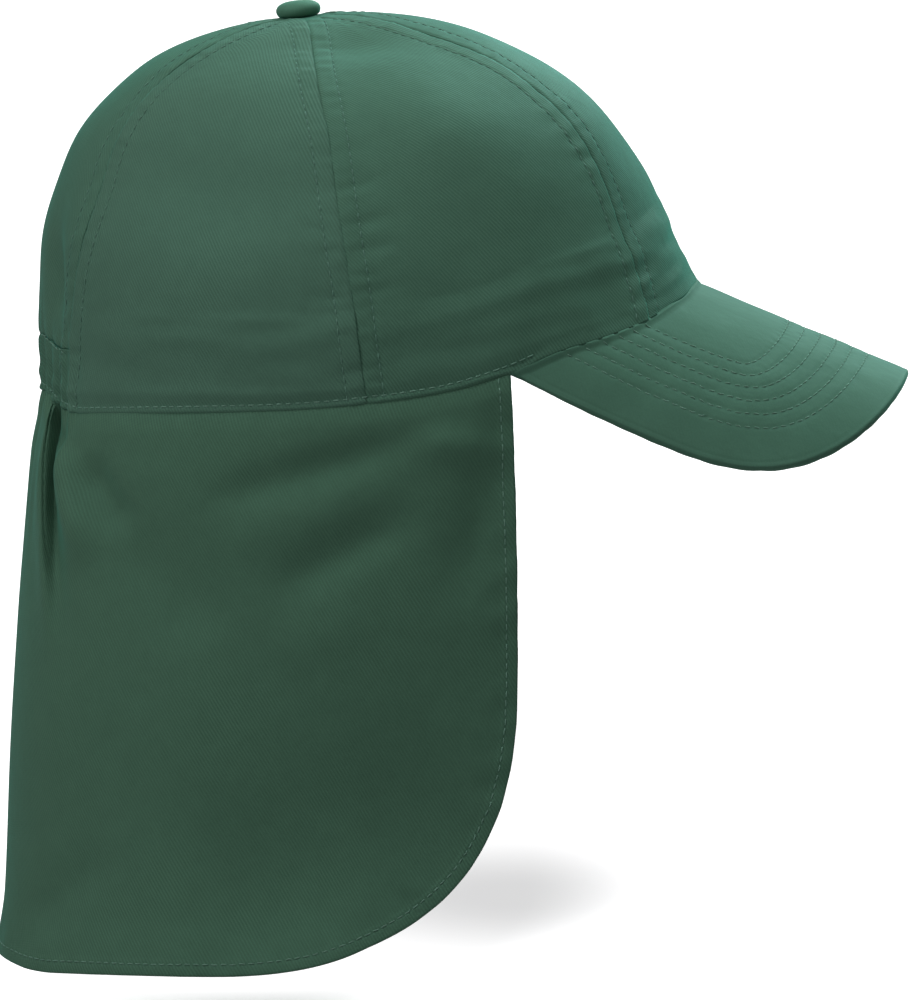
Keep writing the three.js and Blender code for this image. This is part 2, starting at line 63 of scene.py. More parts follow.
# Seams and their rows of stitches
SEAM_ROW = 5.7
SEAM_GROOVE = 0.24
SEAM_FOOT_REACH = 30
SEAM_FOOT_SHARE = 0.35
SEAM_GROOVE_WIDTH = 0.45
ROW_GROOVE = 0.2
ROW_GROOVE_WIDTH = 0.55
ROW_WAVE = 0.25
SEAM_WAVE = 0.3
SEAM_PADDING = 0.14
PADDING_START = 1.5
PADDING_END = 4.6
PADDING_FADE = 1.6
PUCKER = 0.17
PUCKER_SIZE = 5.5
PUCKER_STRETCH = 0.35
PUCKER_PLACE = 3.5
PUCKER_REACH = 4.2
PULL_LEAN = 0.1
PLAIN_PULLS = (0.2, 0.2)
FRONT_SIDE_PULLS = (0.3, 1.0)
BACK_SIDE_PULLS = (0.5, 0.2)
NARROW_WIDTH = 6
NARROW_FADE = 8
NARROW_SHARE = 0.4
PULL_REACH = 15
STITCH_PITCH = 2.9
SEAM_PITCH = 2.0
STITCH_LENGTH = 2.15
STITCH_RADIUS = 0.2
STITCH_ARCH = 0.6
STITCH_LIFT = 0.06
STITCH_SHAKE = 0.12
STITCH_SHARES = (0.86, 1.1)
STITCH_SIDES = 6
ROW_ROOM = 1.5
ROW_START = 1.2

# Lower edge of the crown
RIM_ROW = 2.4
RIM_ROW_START_ANGLE = 5
RIM_ROLL = 0.6
RIM_LIP = 0.22
RIM_LIP_PLACE = 1.1
RIM_LIP_WIDTH = 0.8
PEAK_FADE_START = 8
PEAK_FADE_ANGLE = 5
FOOT_FLARE = 0.35
FOOT_FLARE_REACH = 7
CORNER_OVERLAP = 1.3
CORNER_OVERLAP_PLACE = 2
CORNER_OVERLAP_ANGLE = 3
CORNER_OVERLAP_HEIGHT = 6
BAND_HEIGHT = 27
BAND_RIDGE = 0.22
BAND_EDGE_FADE = 2.4
BAND_START = 3
BAND_SWELL = 0.45
BAND_SWELL_PLACE = 21.5
BAND_SWELL_WIDTH = 3.4
BAND_RIPPLE = 0.17
BAND_RIPPLE_SIZE = 9
BAND_RIPPLE_STRETCH = 0.28
BAND_RIPPLE_FADE = 5
LOW_RIDGE = 0.4
LOW_RIDGE_PLACE = 5.5
LOW_RIDGE_WIDTH = 2.0
LOW_RIDGE_BEARING = 75
LOW_RIDGE_FADE_ANGLE = 25

# Elastic casing and gathers at the back
CASING_HEIGHT = 17
CASING_ROW = 0.2
CASING_ROW_START_ANGLE = 1
GATHER_COUNT = 9
GATHER_DEPTH = 0.9
GATHER_REACH = 60
GATHER_FADE_ANGLE = 8
ELASTIC_DRAW = 1.3
ELASTIC_DRAW_HEIGHT = 9
CASING_SEAM_REACH = 5
RIPPLE = 0.24
RIPPLE_PITCH = 3.7
RIPPLE_FADE = 16
RIPPLE_SHAKE = 0.6
RIPPLE_SHAKE_SIZE = 14
CASING_GROOVE = 0.55
CASING_GROOVE_WIDTH = 0.7

# Peak
PEAK_LENGTH = 69.5
PEAK_HALF_WIDTH = 91
PEAK_SHOULDER = 5
PEAK_SLOPE = 22.9
PEAK_BEND_RADIUS = 77
PEAK_THICKNESS = 3.2
PEAK_ROUNDNESS = 2.85
PEAK_NOSE_SHARE = 0.76
PEAK_SIDE_CURVE = 2.5
PEAK_CORNER_START = 0.82
PEAK_CORNER_LENGTH = 3
PEAK_CORNER_BEARING = 66.7
PEAK_STEP = 0.7
PEAK_TUCK = 1.2
PEAK_ROW_FIRST = 14
PEAK_ROW_STEP = 5.15
PEAK_ROW_COUNT = 6
PEAK_ROW_GROOVE = 0.3
PEAK_ROW_WIDTH = 0.7
PEAK_ROW_WAVE = 0.2
PEAK_PUCKER = 0.07
PEAK_PUCKER_SIZE = 5
PEAK_PUCKER_WIDTH = 1.8
PEAK_WANDER = 0.12
PEAK_WANDER_SIZE = 24
PEAK_CREASE = 0.12
PEAK_CREASE_WIDTH = 0.9
PEAK_CREASE_PLACE = 1.7
PEAK_SEAT = 0.9
PEAK_SEAT_REACH = 2.4
PEAK_EDGE_GROOVE = 0.07
PEAK_EDGE_GROOVE_PLACE = 2.2
PEAK_EDGE_GROOVE_WIDTH = 0.5
PEAK_EDGE_ROUND = 0.3
PEAK_LOW_SHARE = 0.8
SEAM_GAP = 0.3

# Neck flap
FLAP_LENGTH = 172
FLAP_CLOTH = 1.0
BACK_FLARE = 11.7
FRONT_FLARE = 2.7
SIDE_DRAW = 7
CORNER_CUT = 91
CORNER_SPAN = 52.5
CORNER_ROUNDNESS = 2.55
FOLD_DEPTH = 3
FOLD_WIDTH = 10
FOLD_START = 14
FOLD_FADE = 0.22
FOLD_END = 0.5
BACK_HEM_RISE = 5
BACK_HEM_ANGLE = 30
FLAP_TUCK = 2.2
FLAP_TUCK_REACH = 5
PLEAT_DRAW = 6.5
PLEAT_RETURN = 3.5
PLEAT_ANGLE = 12
PLEAT_SPREAD = 5.5
PLEAT_WIDTH = 3.2
PLEAT_DRIFT = 30
PLEAT_SINK = 1.8
PLEAT_RISE = 0.6
PLEAT_LENGTH = 0.36
PLEAT_TOP = 4
PLEAT_FADE_DROP = 0.12
FLAP_TUCK_DEPTH = 0.4
FLAP_TUCK_HEIGHT = 2.5
FLAP_SEAM_PADDING = 0.9
FLAP_PADDING_START = 8
FLAP_PADDING_REACH = 45
FLAP_WANDER = 0.5
FLAP_WANDER_SIZE = 70
FLAP_WANDER_REACH = 30
GATHER_CALM = 0.7
GATHER_CALM_REACH = 8
BACK_DRAW_ANGLE = 18
BACK_DRAW_FADE = 8
BACK_DRAW_REACH = 18
RIM_GAP = 0.5
FLAP_FRONT_GAP_ANGLE = 0.3
HEM_ROW = 3.8
HEM_RIDGE = 0.3
HEM_WIDTH = 4.2
HEM_GROOVE = 0.3
HEM_RIPPLE = 0.28
HEM_RIPPLE_SIZE = 13
HEM_RIPPLE_STRETCH = 0.4
HEM_RIPPLE_REACH = 12
HEM_RIPPLE_START = 2
HEM_RIPPLE_INSIDE = 0.6
HEM_RELIEF_DROP = 6
HEM_EDGE_REACH = 0.8
HEM_FLIP = 1.4
HEM_FLIP_REACH = 20
HEM_FLIP_BEARING = 85
HEM_FLIP_ANGLE = 20
HEM_FLIP_DROP = 60

# Button
BUTTON_RADIUS = 6.8
BUTTON_HEIGHT = 4.9
BUTTON_EDGE_HEIGHT = 2.1
BUTTON_FOOT_RADIUS = 5.3
BUTTON_TILT = 6
BUTTON_SINK = 0.6
BUTTON_FOOT_SHARE = 0.9
BUTTON_DOME_POWER = 0.7
BUTTON_SIDES = 72
BUTTON_WOBBLES = ((0.006, 3, 1), (0.004, 7, 0))

# Fine grids. A pair of steps is: until this far, this step.
PANEL_STEPS = ((6, 0.45), (30, 0.8), (CROWN_PATH, 0.95))
SEAM_ZONE = 9
SEAM_ZONE_SHARE = 0.42
SEAM_STEPS = ((1.6, 0.3), (SEAM_ZONE, 0.55))
MIDDLE_STEP = 1.5
PANEL_SAMPLES = 161
PEAK_COLUMNS = 321
PEAK_DEPTH = 68
PEAK_STEPS = ((5, 0.4), (45, 0.7), (PEAK_DEPTH, 1.0))
FLAP_STEPS = ((10, 0.8), (FLAP_LENGTH - 12, 1.5), (FLAP_LENGTH, 0.6))
FLAP_SIDE_STEPS = ((2, 0.35), (9, 0.6), (95, 1.1))

# The same near the back, but each distance is what is left to the middle of the back
FLAP_BACK_STEPS = ((48, 1.5), (6, 0.6), (0, 1.2))

# Samples along lines, and where the rows on the peak and the hem end
LINE_SAMPLES = 2001
RIM_SAMPLES = 3001
PEAK_ROW_SAMPLES = 1200
JOINT_SAMPLES = 400
CROWN_LINE_SAMPLES = 400
LINE_SPACING = 0.25
ROW_SLACK = 0.3
ROW_END_GAP = 0.8
HEM_LINE_STEP = 0.5
HEM_LINE_SLACK = 0.25
HEM_LINE_TOP = 1

# Twill, its tones and tints. Pitches, shakes and depths are metres, and a scale is a count for each metre.
WALE_PITCH = 0.0009
WALE_ANGLE = 60
WALE_SHAKE = 0.00022
THREAD_PITCH = 0.00055
WALE_SHAKE_SCALE = 900
WALE_DEPTH = 0.75
THREAD_DEPTH = 0.35
WEAVE_DEPTH = 0.00005
FUZZ_SCALE = 1500
FUZZ_TONE = 0.45
MOTTLE_SCALE = 160
MOTTLE_TONE = 0.24
PATCH_SCALE = 22
PATCH_TONE = 0.14
CRUMPLE_SCALE = 95
CRUMPLE_DEPTH = 0.0012
DARK_SHARE = 0.68
BRIGHT_SHARE = 1.36
ROUGHNESS_SPREAD = 0.16
SHEEN_ROUGHNESS = 0.35
STITCH_DARK_SHARE = 0.6
STITCH_TONE_SCALE = 420
STITCH_FIBRE_SCALE = 3600
STITCH_FIBRE_DEPTH = 0.00006
CLOTH_TINT = (0.15, 0.9, 0.72, 1)
GLOSS_TINT = (0.2, 1.0, 0.8, 1)

# Floor, lights and camera: metres, but PIXEL_SIZE and SENSOR are millimetres
FLOOR_SIZE = 30
FLOOR_LEVEL = -0.186
FLOOR_BOUNCE = 0.3
FLOOR_WHITE = (0.93, 0.93, 0.935, 1)
# Painted light and shadow: seen by the camera, the floor glows more the further it is from an oval behind the
# cap, so the cap's sun-cast shadow shows only inside this painted shadow oval
FLOOR_PAINTED_LIGHT = 0.45
PAINTED_LIGHT_START = 0.1
PAINTED_SHADOW_PLACE = (0.045, 0.8, 0)
PAINTED_SHADOW_SIZE = (0.105, 0.58, 1000)
WHITE = (1, 1, 1)
COOL = (0.68, 1, 0.95)
SKY_TOP = 0.05
SKY_LOW = 0.03
SKY_LEVELS = (0.4, 0.95)
PIXEL_SIZE = 0.304
IMAGE = (909, 1000)
ORIGIN_PIXEL = (368, 402)
ELEVATION = 2
DISTANCE = 12
SENSOR = 24

# rise, then height and reach at the front, side and back, as shares of the crown's sizes
CROWN_ROWS = (
    (0.0, 0.0, 1.116, 0.0, 1.0, 0.0, 1.0),
    (0.1, 0.153, 1.06, 0.141, 1.013, 0.146, 0.971),
    (0.2, 0.307, 1.003, 0.281, 1.006, 0.292, 0.945),
    (0.3, 0.462, 0.947, 0.42, 0.978, 0.436, 0.902),
    (0.4, 0.618, 0.899, 0.554, 0.92, 0.571, 0.829),
    (0.5, 0.763, 0.815, 0.678, 0.827, 0.695, 0.741),
    (0.6, 0.874, 0.685, 0.784, 0.699, 0.795, 0.63),
    (0.7, 0.951, 0.528, 0.87, 0.538, 0.881, 0.492),
    (0.8, 0.996, 0.358, 0.94, 0.363, 0.943, 0.335),
    (0.9, 1.011, 0.183, 0.986, 0.183, 0.982, 0.166),
    (1.0, 1.0, 0.0, 1.0, 0.0, 1.0, 0.0),
)
FRONT_UP, FRONT, SIDE_UP, SIDE, BACK_UP, BACK = range(1, 7)

# bearing, height as a share of FRONT_RISE
RIM_ROWS = (
    (0, 1.0), (22, 0.86), (36, 0.7), (48, 0.57), (57, 0.47), (67, 0.3), (77, 0.15),
    (90, 0.045), (105, -0.015), (145, -0.07), (153, -0.075), (161, -0.015), (172, 0.09), (180, 0.1),
)

# rise, then bearing of the front, side and back seam
SEAM_ROWS = (
    (0.0, 40, 90, 157),
    (0.1, 37.5, 89.7, 155.5),
    (0.2, 32.5, 89.2, 153),
    (0.35, 29, 88.8, 149.5),
    (0.5, 28.3, 88, 148.5),
    (0.7, 30.5, 87.3, 143.5),
    (0.85, 32, 84.5, 136),
    (1.0, 32, 82, 132),
)
FRONT_SEAM, SIDE_SEAM, BACK_SEAM = range(1, 4)

# bearing, rise, width, tallness, depth as a share of FOLD_DEPTH
DENT_ROWS = (
    (165, 0.24, 4, 0.09, 0.7),
    (150, 0.1, 6, 0.05, 0.25),
    (44, 0.2, 5, 0.05, 0.3),
    (120, 0.3, 16, 0.12, 0.3),
)

# bearing, rise, width, tallness, then depth in millimetres: broad, shallow hollows and swells
SOFT_ROWS = (
    (118, 0.42, 25, 0.11, 4.0),
    (63, 0.52, 17, 0.12, -2.6),
    (66, 0.78, 28, 0.065, 2.5),
    (163, 0.21, 4.5, 0.1, 2.4),
)

# distance up the seam, then width and depth in millimetres: short pulls beside the side seam
PULL_ROWS = (
    (33, 1.9, 0.35),
    (46, 1.8, 0.45),
    (54.5, 1.8, 0.5),
    (67, 2.4, 0.4),
    (79, 2.2, 0.3),
)

# place along a stitch, height and thickness there, as shares of its length, arch and radius
STITCH_ROWS = (
    (-0.5, -0.42, 0.45),
    (-0.38, -0.02, 0.95),
    (0, 0.12, 1.0),
    (0.38, -0.02, 0.95),
    (0.5, -0.42, 0.45),
)

# drop, then the share of BACK_FLARE, SIDE_DRAW and FRONT_FLARE
FLAP_ROWS = (
    (0.0, 0.0, 0.0, 0.0),
    (0.06, 0.1, 0.03, 0.3),
    (0.16, 0.32, 0.12, 0.6),
    (0.33, 0.57, 0.4, 0.9),
    (0.5, 0.74, 0.72, 1.0),
    (0.7, 0.85, 0.97, 1.0),
    (0.88, 0.94, 1.0, 1.0),
    (1.0, 1.0, 0.86, 1.0),
)
FLARE_BACK, DRAW_SIDE, FLARE_FRONT = range(1, 4)

# from bearing and drop, to bearing and drop, width and depth as shares of the fold's sizes
FOLD_ROWS = (
    (154, 0.0, 158, 0.06, 0.3, -0.9),
    (157, 0.05, 146, 0.24, 0.6, 1.1),
    (147, 0.09, 136, 0.195, 0.6, -1.1),
    (136, 0.2, 119, 0.38, 1.0, -0.75),
    (116, 0.145, 86, 0.07, 0.6, -0.85),
    (116, 0.24, 90, 0.16, 0.6, 0.2),
    (105, 0.305, 85, 0.205, 0.65, -0.8),
    (104, 0.43, 91, 0.36, 0.8, 0.25),
    (82, 0.07, 68, 0.12, 0.5, 0.6),
    (69, 0.06, 76, 0.34, 0.7, -0.75),
    (118, 0.87, 76, 0.69, 2.8, -1.7),
    (160, 0.92, 138, 0.8, 0.8, -0.5),
)

# name, place, where it points, width and height, power and colour: soft panels that light the cap
PANELS = (
    ("overhead", (0.1, -0.35, 1.5), (0.02, 0, 0), (1.2, 1.0), 9, WHITE),
    ("behind_high", (0.2, 1.1, 1.1), (0.0, 0, 0.05), (0.8, 0.8), 4, COOL),
    ("behind_low", (0.55, 1.4, 0.75), (0.05, 0, 0.06), (0.6, 0.6), 5, COOL),
    ("front_behind", (0.72, 0.8, 1.2), (0.05, 0, 0.06), (0.6, 0.6), 11.5, COOL),
    ("back_top", (-1.1, -0.7, 1.0), (0.0, 0, 0), (0.9, 0.9), 10.5, WHITE),
    ("top_front", (0.7, -0.3, 1.5), (0.03, 0, 0.05), (0.6, 0.6), 3, COOL),
    ("camera_side", (0.0, -2.2, 0.3), (0.0, 0, -0.03), (1.6, 1.6), 4, WHITE),
)

# name, azimuth, elevation, strength and softness: suns that light the floor alone
SUNS = (
    ("floor_wash", 0, 80, 2.26, 40),
    ("floor_shadow", 2.0, 6, 12.3, 3.5),
)


def mix(low, high, share):
    return low + (high - low) * share


def eased(share):
    s = np.clip(share, 0, 1)
    return s * s * (3 - 2 * s)


def fading(place, start, reach):
    """One before the start, easing down to nothing over the reach."""
    return 1 - eased((place - start) / reach)


def hump(distance, width):
    """One where distance is nought, fading to nothing about two widths away."""
    return np.exp(-(distance / width) ** 2)


def rounded_edge(distance, width, depth):
    """How far a round edge falls: its whole depth at the edge, nothing from its width inwards."""
    inside = np.clip(distance / width, 0, 1)
    return depth * (1 - np.sqrt(1 - (1 - inside) ** 2))


def wavy(along, pitch, share):
    """A factor that swings from one down by twice a share, once for each pitch."""
    return 1 - share + share * np.cos(2 * np.pi * along / pitch)


def from_front(bearing):
    return np.abs(np.where(bearing > 180, bearing - 360, bearing))


def read_table(rows, column, at, level_ends=False):
    """A table's column between its rows, along a smooth curve."""
    keys = np.array([row[0] for row in rows], float)
    values = np.array([row[column] for row in rows], float)
    slopes = np.empty(len(keys))
    slopes[1:-1] = (values[2:] - values[:-2]) / (keys[2:] - keys[:-2])
    slopes[0] = 0 if level_ends else (values[1] - values[0]) / (keys[1] - keys[0])
    slopes[-1] = 0 if level_ends else (values[-1] - values[-2]) / (keys[-1] - keys[-2])
    at = np.clip(at, keys[0], keys[-1])
    i = np.clip(np.searchsorted(keys, at, side="right") - 1, 0, len(keys) - 2)
    span = keys[i + 1] - keys[i]
    s = (at - keys[i]) / span
    s2 = s * s
    s3 = s2 * s
    return ((2 * s3 - 3 * s2 + 1) * values[i] + (s3 - 2 * s2 + s) * span * slopes[i]
            + (3 * s2 - 2 * s3) * values[i + 1] + (s3 - s2) * span * slopes[i + 1])


def solve(rising, value, low, high):
    a = np.full(np.shape(value), float(low))
    b = np.full(np.shape(value), float(high))
    for _ in range(24):
        middle = (a + b) / 2
        below = rising(middle) < value
        a = np.where(below, middle, a)
        b = np.where(below, b, middle)
    return (a + b) / 2


def wander(x, y, size, seed):
    """A smooth, random-looking height from about -1 to 1 whose waves are about size long."""
    random = np.random.default_rng(seed)
    total = 0
    for _ in range(7):
        turn = random.uniform(0, 2 * math.pi)
        wave = 2 * math.pi * random.uniform(0.6, 1.5) / size
        total = total + np.sin(wave * (x * math.cos(turn) + y * math.sin(turn))
                               + random.uniform(0, 2 * math.pi))
    return total / 3


def unit(vectors):
    return vectors / np.maximum(np.linalg.norm(vectors, axis=-1, keepdims=True), 1e-9)


# The smooth form of the crown

def dome_point(bearing, rise):
    bearing, rise = np.broadcast_arrays(bearing, rise)
    fore = np.cos(np.radians(bearing))
    ahead = fore > 0
    reach = np.where(ahead, FRONT_REACH * read_table(CROWN_ROWS, FRONT, rise),
                     BACK_REACH * read_table(CROWN_ROWS, BACK, rise))
    end_height = np.where(ahead, read_table(CROWN_ROWS, FRONT_UP, rise),
                          read_table(CROWN_ROWS, BACK_UP, rise))
    height = mix(read_table(CROWN_ROWS, SIDE_UP, rise), end_height, fore * fore)
    at_seam = (1 - np.cos(np.radians(6 * bearing))) / 2
    sink = 1 - (SEAM_SINK / HALF_WIDTH) * at_seam * np.sin(np.pi * rise)
    width = HALF_WIDTH * read_table(CROWN_ROWS, SIDE, rise)
    return np.stack([
        reach * fore * sink - CROWN_LEAN * height,
        width * np.sin(np.radians(bearing)) * sink,
        CROWN_HEIGHT * height,
    ], axis=-1)


def dome_normal(bearing, rise):
    turn = 0.5
    lift = 0.004
    around = dome_point(bearing + turn, rise) - dome_point(bearing - turn, rise)
    up = (dome_point(bearing, np.minimum(rise + lift, 1))
          - dome_point(bearing, np.maximum(rise - lift, 0)))
    return unit(np.cross(around, up))


def rise_at_height(bearing, height):
    return solve(lambda rise: dome_point(bearing, rise)[..., 2], height, 0, 0.7)


def rim_height(bearing):
    return FRONT_RISE * read_table(RIM_ROWS, 1, from_front(bearing), True)


RIM_BEARINGS = np.arange(-182, 363, 0.25)
RIM_RISES = rise_at_height(RIM_BEARINGS, np.maximum(rim_height(RIM_BEARINGS), 0))
CASING_RISES = rise_at_height(
    RIM_BEARINGS, CASING_HEIGHT + np.maximum(rim_height(RIM_BEARINGS), 0))
EYELET_RISE = float(solve(lambda rise: -dome_point(90.0, rise)[..., 1], -EYELET_RADIUS, 0.8, 1))


def rim_rise(bearing):
    return np.interp(bearing, RIM_BEARINGS, RIM_RISES)


def casing_rise(bearing):
    return np.interp(bearing, RIM_BEARINGS, CASING_RISES)


def eyelet_rise(bearing):
    return np.full(np.shape(bearing), EYELET_RISE)


def rim_point(bearing):
    point = dome_point(bearing, rim_rise(bearing))
    point[..., 2] = rim_height(bearing)
    return point


def gather(bearing, below):
    back_seam = SEAM_ROWS[0][BACK_SEAM]
    from_back = 180 - from_front(bearing)
    half = 180 - back_seam
    side_fade = fading(from_back, half, GATHER_FADE_ANGLE)
    fade = fading(below, 0, GATHER_REACH)
    wave = np.cos(np.radians(from_back * GATHER_COUNT * 180 / half))
    return GATHER_DEPTH * wave * side_fade * fade


def dent_depth(bearing, rise):
    depth = 0
    for rows, unit_depth in ((DENT_ROWS, FOLD_DEPTH), (SOFT_ROWS, 1)):
        for at_bearing, at_rise, width, tall, share in rows:
            shape = hump(from_front(bearing) - at_bearing, width) * hump(rise - at_rise, tall)
            depth = depth + share * unit_depth * shape
    return depth


# Meshes

def link(thing):
    bpy.context.scene.collection.objects.link(thing)
    return thing


def add_mesh(name, points, faces, material, flat_places=None):
    """A smooth mesh from points in millimetres, with its flat cloth places as a UV map in metres."""
    mesh = bpy.data.meshes.new(name)
    mesh.from_pydata((np.asarray(points) * MM).tolist(), [], faces)
    mesh.polygons.foreach_set("use_smooth", np.ones(len(mesh.polygons), bool))
    if flat_places is not None:
        corners = np.empty(len(mesh.loops), int)
        mesh.loops.foreach_get("vertex_index", corners)
        places = np.asarray(flat_places)[corners] * MM
        mesh.uv_layers.new(name="cloth").data.foreach_set("uv", places.ravel())
    mesh.materials.append(material)
    return link(bpy.data.objects.new(name, mesh))


def grid_faces(at, flipped=False):
    low_left, low_right = at[:-1, :-1], at[:-1, 1:]
    high_right, high_left = at[1:, 1:], at[1:, :-1]
    order = (low_left, high_left, high_right, low_right) if flipped else (
        low_left, low_right, high_right, high_left)
    return np.stack([x.ravel() for x in order], axis=-1).tolist()


def wall_mesh(name, outer, inner, flat_places, material):
    """A closed sheet between a fine outer grid and an inner grid with half its steps."""
    rows, columns = outer.shape[:2]
    outer_at = np.arange(rows * columns).reshape(rows, columns)
    inner_at = rows * columns + np.arange(inner.shape[0] * inner.shape[1]).reshape(inner.shape[:2])
    faces = grid_faces(outer_at) + grid_faces(inner_at, flipped=True)
    borders = (
        (outer_at[0], inner_at[0], False), (outer_at[:, -1], inner_at[:, -1], False),
        (outer_at[-1], inner_at[-1], True), (outer_at[:, 0], inner_at[:, 0], True),
    )
    for fine, coarse, turned in borders:
        for k in range(len(coarse) - 1):
            a, b, c = int(fine[2 * k]), int(fine[2 * k + 1]), int(fine[2 * k + 2])
            p, q = int(coarse[k]), int(coarse[k + 1])
            strip = [(a, p, b), (b, p, q), (b, q, c)]
            faces += [tri[::-1] for tri in strip] if turned else strip
    points = np.concatenate([outer.reshape(-1, 3), inner.reshape(-1, 3)])
    places = np.concatenate([flat_places.reshape(-1, 2), flat_places[::2, ::2].reshape(-1, 2)])
    return add_mesh(name, points, faces, material, places)


def steps_of(length, stretches):
    """Distances from 0 to length: a list of (until, step) stretches, the last one for the rest."""
    places = [0.0]
    for until, step in stretches:
        start = places[-1]
        end = min(until, length)
        count = max(1, round((end - start) / step))
        places += [mix(start, end, k / count) for k in range(1, count + 1)]
    return places


def odd_count(places):
    """The same distances with one more in the middle where their number is even."""
    if len(places) % 2 == 0:
        middle = len(places) // 2
        places.insert(middle, (places[middle - 1] + places[middle]) / 2)
    return np.array(places)


def path_length(points, axis):
    """Distance along a grid's rows or columns from its first point."""
    steps = np.linalg.norm(np.diff(points, axis=axis), axis=-1)
    zeros = np.zeros_like(np.take(steps, [0], axis=axis))
    return np.concatenate([zeros, np.cumsum(steps, axis=axis)], axis=axis)


def points_along(line, distances):
    """Points at set distances from a line's first point."""
    length = path_length(line, 0)
    return np.stack([np.interp(distances, length, values) for values in line.T], axis=-1)


def flat_tree(points):
    tree = KDTree(len(points))
    for k, point in enumerate(points):
        tree.insert((point[0], point[1], 0), k)
    tree.balance()
    return tree


# Crown panels

def crown_places(from_seam, to_seam, foot_at, head_at, up, across):
    """Bearing and rise at shares up and across a panel."""
    def bearing_at(rise):
        return mix(from_seam(rise), to_seam(rise), across)
    bearing = bearing_at(np.full(np.shape(across), 0.5))
    rise = 0.5
    for _ in range(4):
        rise = mix(foot_at(bearing), head_at(bearing), up)
        bearing = bearing_at(rise)
    return bearing, rise


def seam_relief(distance, along, seed, pulled):
    """Height of the cloth beside a seam: groove, padded strip, stitch row, puckers and longer pulls."""
    padding = SEAM_PADDING * eased(distance / PADDING_START)
    padding = padding * fading(distance, PADDING_END, PADDING_FADE)
    row = ROW_GROOVE * hump(distance - SEAM_ROW, ROW_GROOVE_WIDTH) * wavy(along, STITCH_PITCH, ROW_WAVE)
    by_foot = mix(SEAM_FOOT_SHARE, 1, eased(along / SEAM_FOOT_REACH))
    groove = SEAM_GROOVE * hump(distance, SEAM_GROOVE_WIDTH) * wavy(along, SEAM_PITCH, SEAM_WAVE)
    groove = groove * by_foot
    pucker = PUCKER * wander(along, distance * PUCKER_STRETCH, PUCKER_SIZE, seed)
    pucker = pucker * hump(distance - PUCKER_PLACE, PUCKER_REACH)
    reach = pulled * hump(distance - PULL_REACH / 2, PULL_REACH / 2)
    for at, width, depth in PULL_ROWS:
        pucker = pucker - reach * depth * hump(along - at - PULL_LEAN * distance, width)
    return padding - row - groove + pucker


def crown_panel(node, slot, seams, ends, height, material, seeds, pulled=PLAIN_PULLS,
                has_rim=True, elastic=0.0):
    """A panel of crown cloth between two seams. Returns the piece and its stitch rows."""
    from_seam, to_seam = seams
    foot_at, head_at = ends
    up_mm = odd_count(steps_of(height, PANEL_STEPS))
    up = (up_mm / height)[:, None]
    coarse = np.linspace(0, 1, PANEL_SAMPLES)[None, :]
    bearing, rise = crown_places(from_seam, to_seam, foot_at, head_at, up, coarse + 0 * up)
    across_mm = path_length(dome_point(bearing, rise), 1)
    widths = across_mm[:, -1]
    edge = steps_of(SEAM_ZONE, SEAM_STEPS)
    middle = max(2, round((widths.max() - 2 * SEAM_ZONE) / MIDDLE_STEP))
    shares = np.empty((len(up), 2 * len(edge) + middle - 1 + (middle % 2 == 0)))
    fill = shares.shape[1] - 2 * len(edge)
    distance = np.empty_like(shares)
    for i, width in enumerate(widths):
        zone = min(SEAM_ZONE, SEAM_ZONE_SHARE * width)
        near = np.array(edge) * zone / SEAM_ZONE
        between = mix(zone, width - zone, np.arange(1, fill + 1) / (fill + 1))
        distance[i] = np.concatenate([near, between, width - near[::-1]])
        shares[i] = np.interp(distance[i], across_mm[i], coarse[0])
    lap = PANEL_LAP / 2 / widths[:, None]
    shares = mix(-lap, 1 + lap, shares)
    bearing, rise = crown_places(from_seam, to_seam, foot_at, head_at, up + 0 * shares, shares)
    base = dome_point(bearing, rise)
    along = path_length(base, 0)
    foot = rim_height(bearing)
    above = base[..., 2] - foot
    base[..., 2] += np.minimum(foot, 0) * fading(above, 0, CASING_HEIGHT)
    over_corner = hump(from_front(bearing) - PEAK_CORNER_BEARING + CORNER_OVERLAP_PLACE, CORNER_OVERLAP_ANGLE)
    base[..., 2] -= CORNER_OVERLAP * over_corner * fading(above, 0, CORNER_OVERLAP_HEIGHT)
    outward = dome_normal(bearing, rise)
    outward[..., 2] *= eased(above / FOOT_LEVEL_REACH)
    outward = unit(outward)
    smooth = gather(bearing, above * GATHER_REACH / CASING_HEIGHT / 2) - dent_depth(bearing, rise)
    width = widths[:, None]
    relief = (seam_relief(distance, along, seeds[0], pulled[0])
              + seam_relief(width - distance, along, seeds[1], pulled[1]))
    relief = relief * eased((width - NARROW_WIDTH) / NARROW_FADE + NARROW_SHARE)
    place = distance - width / 2
    relief = relief + CLOTH_WANDER * wander(place, along, CLOTH_WANDER_SIZE, seeds[2])
    if has_rim:
        relief = relief + rim_relief(place, along, bearing, seeds[2])
    if elastic > 0:
        off_seams = eased(distance / CASING_SEAM_REACH) * eased((width - distance) / CASING_SEAM_REACH)
        relief = relief + back_ripples(place, above, elastic) * off_seams
    outer = base + outward * (smooth + relief)[..., None]
    inner = (base + outward * (smooth - CROWN_CLOTH)[..., None])[::2, ::2]
    flat = np.stack([place, along], axis=-1)
    piece = wall_mesh(f"{node}_cloth", outer, inner, flat, material)
    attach(piece, "root")
    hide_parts(node)
    rows = []
    for from_low in (True, False):
        line = []
        for i in range(len(widths)):
            if widths[i] < 2 * SEAM_ROW + ROW_ROOM or along[i, 0] < ROW_START:
                continue
            at = SEAM_ROW if from_low else widths[i] - SEAM_ROW
            line.append([np.interp(at, distance[i], outer[i, :, k]) for k in range(3)])
        rows.append(np.array(line))
    return piece, rows


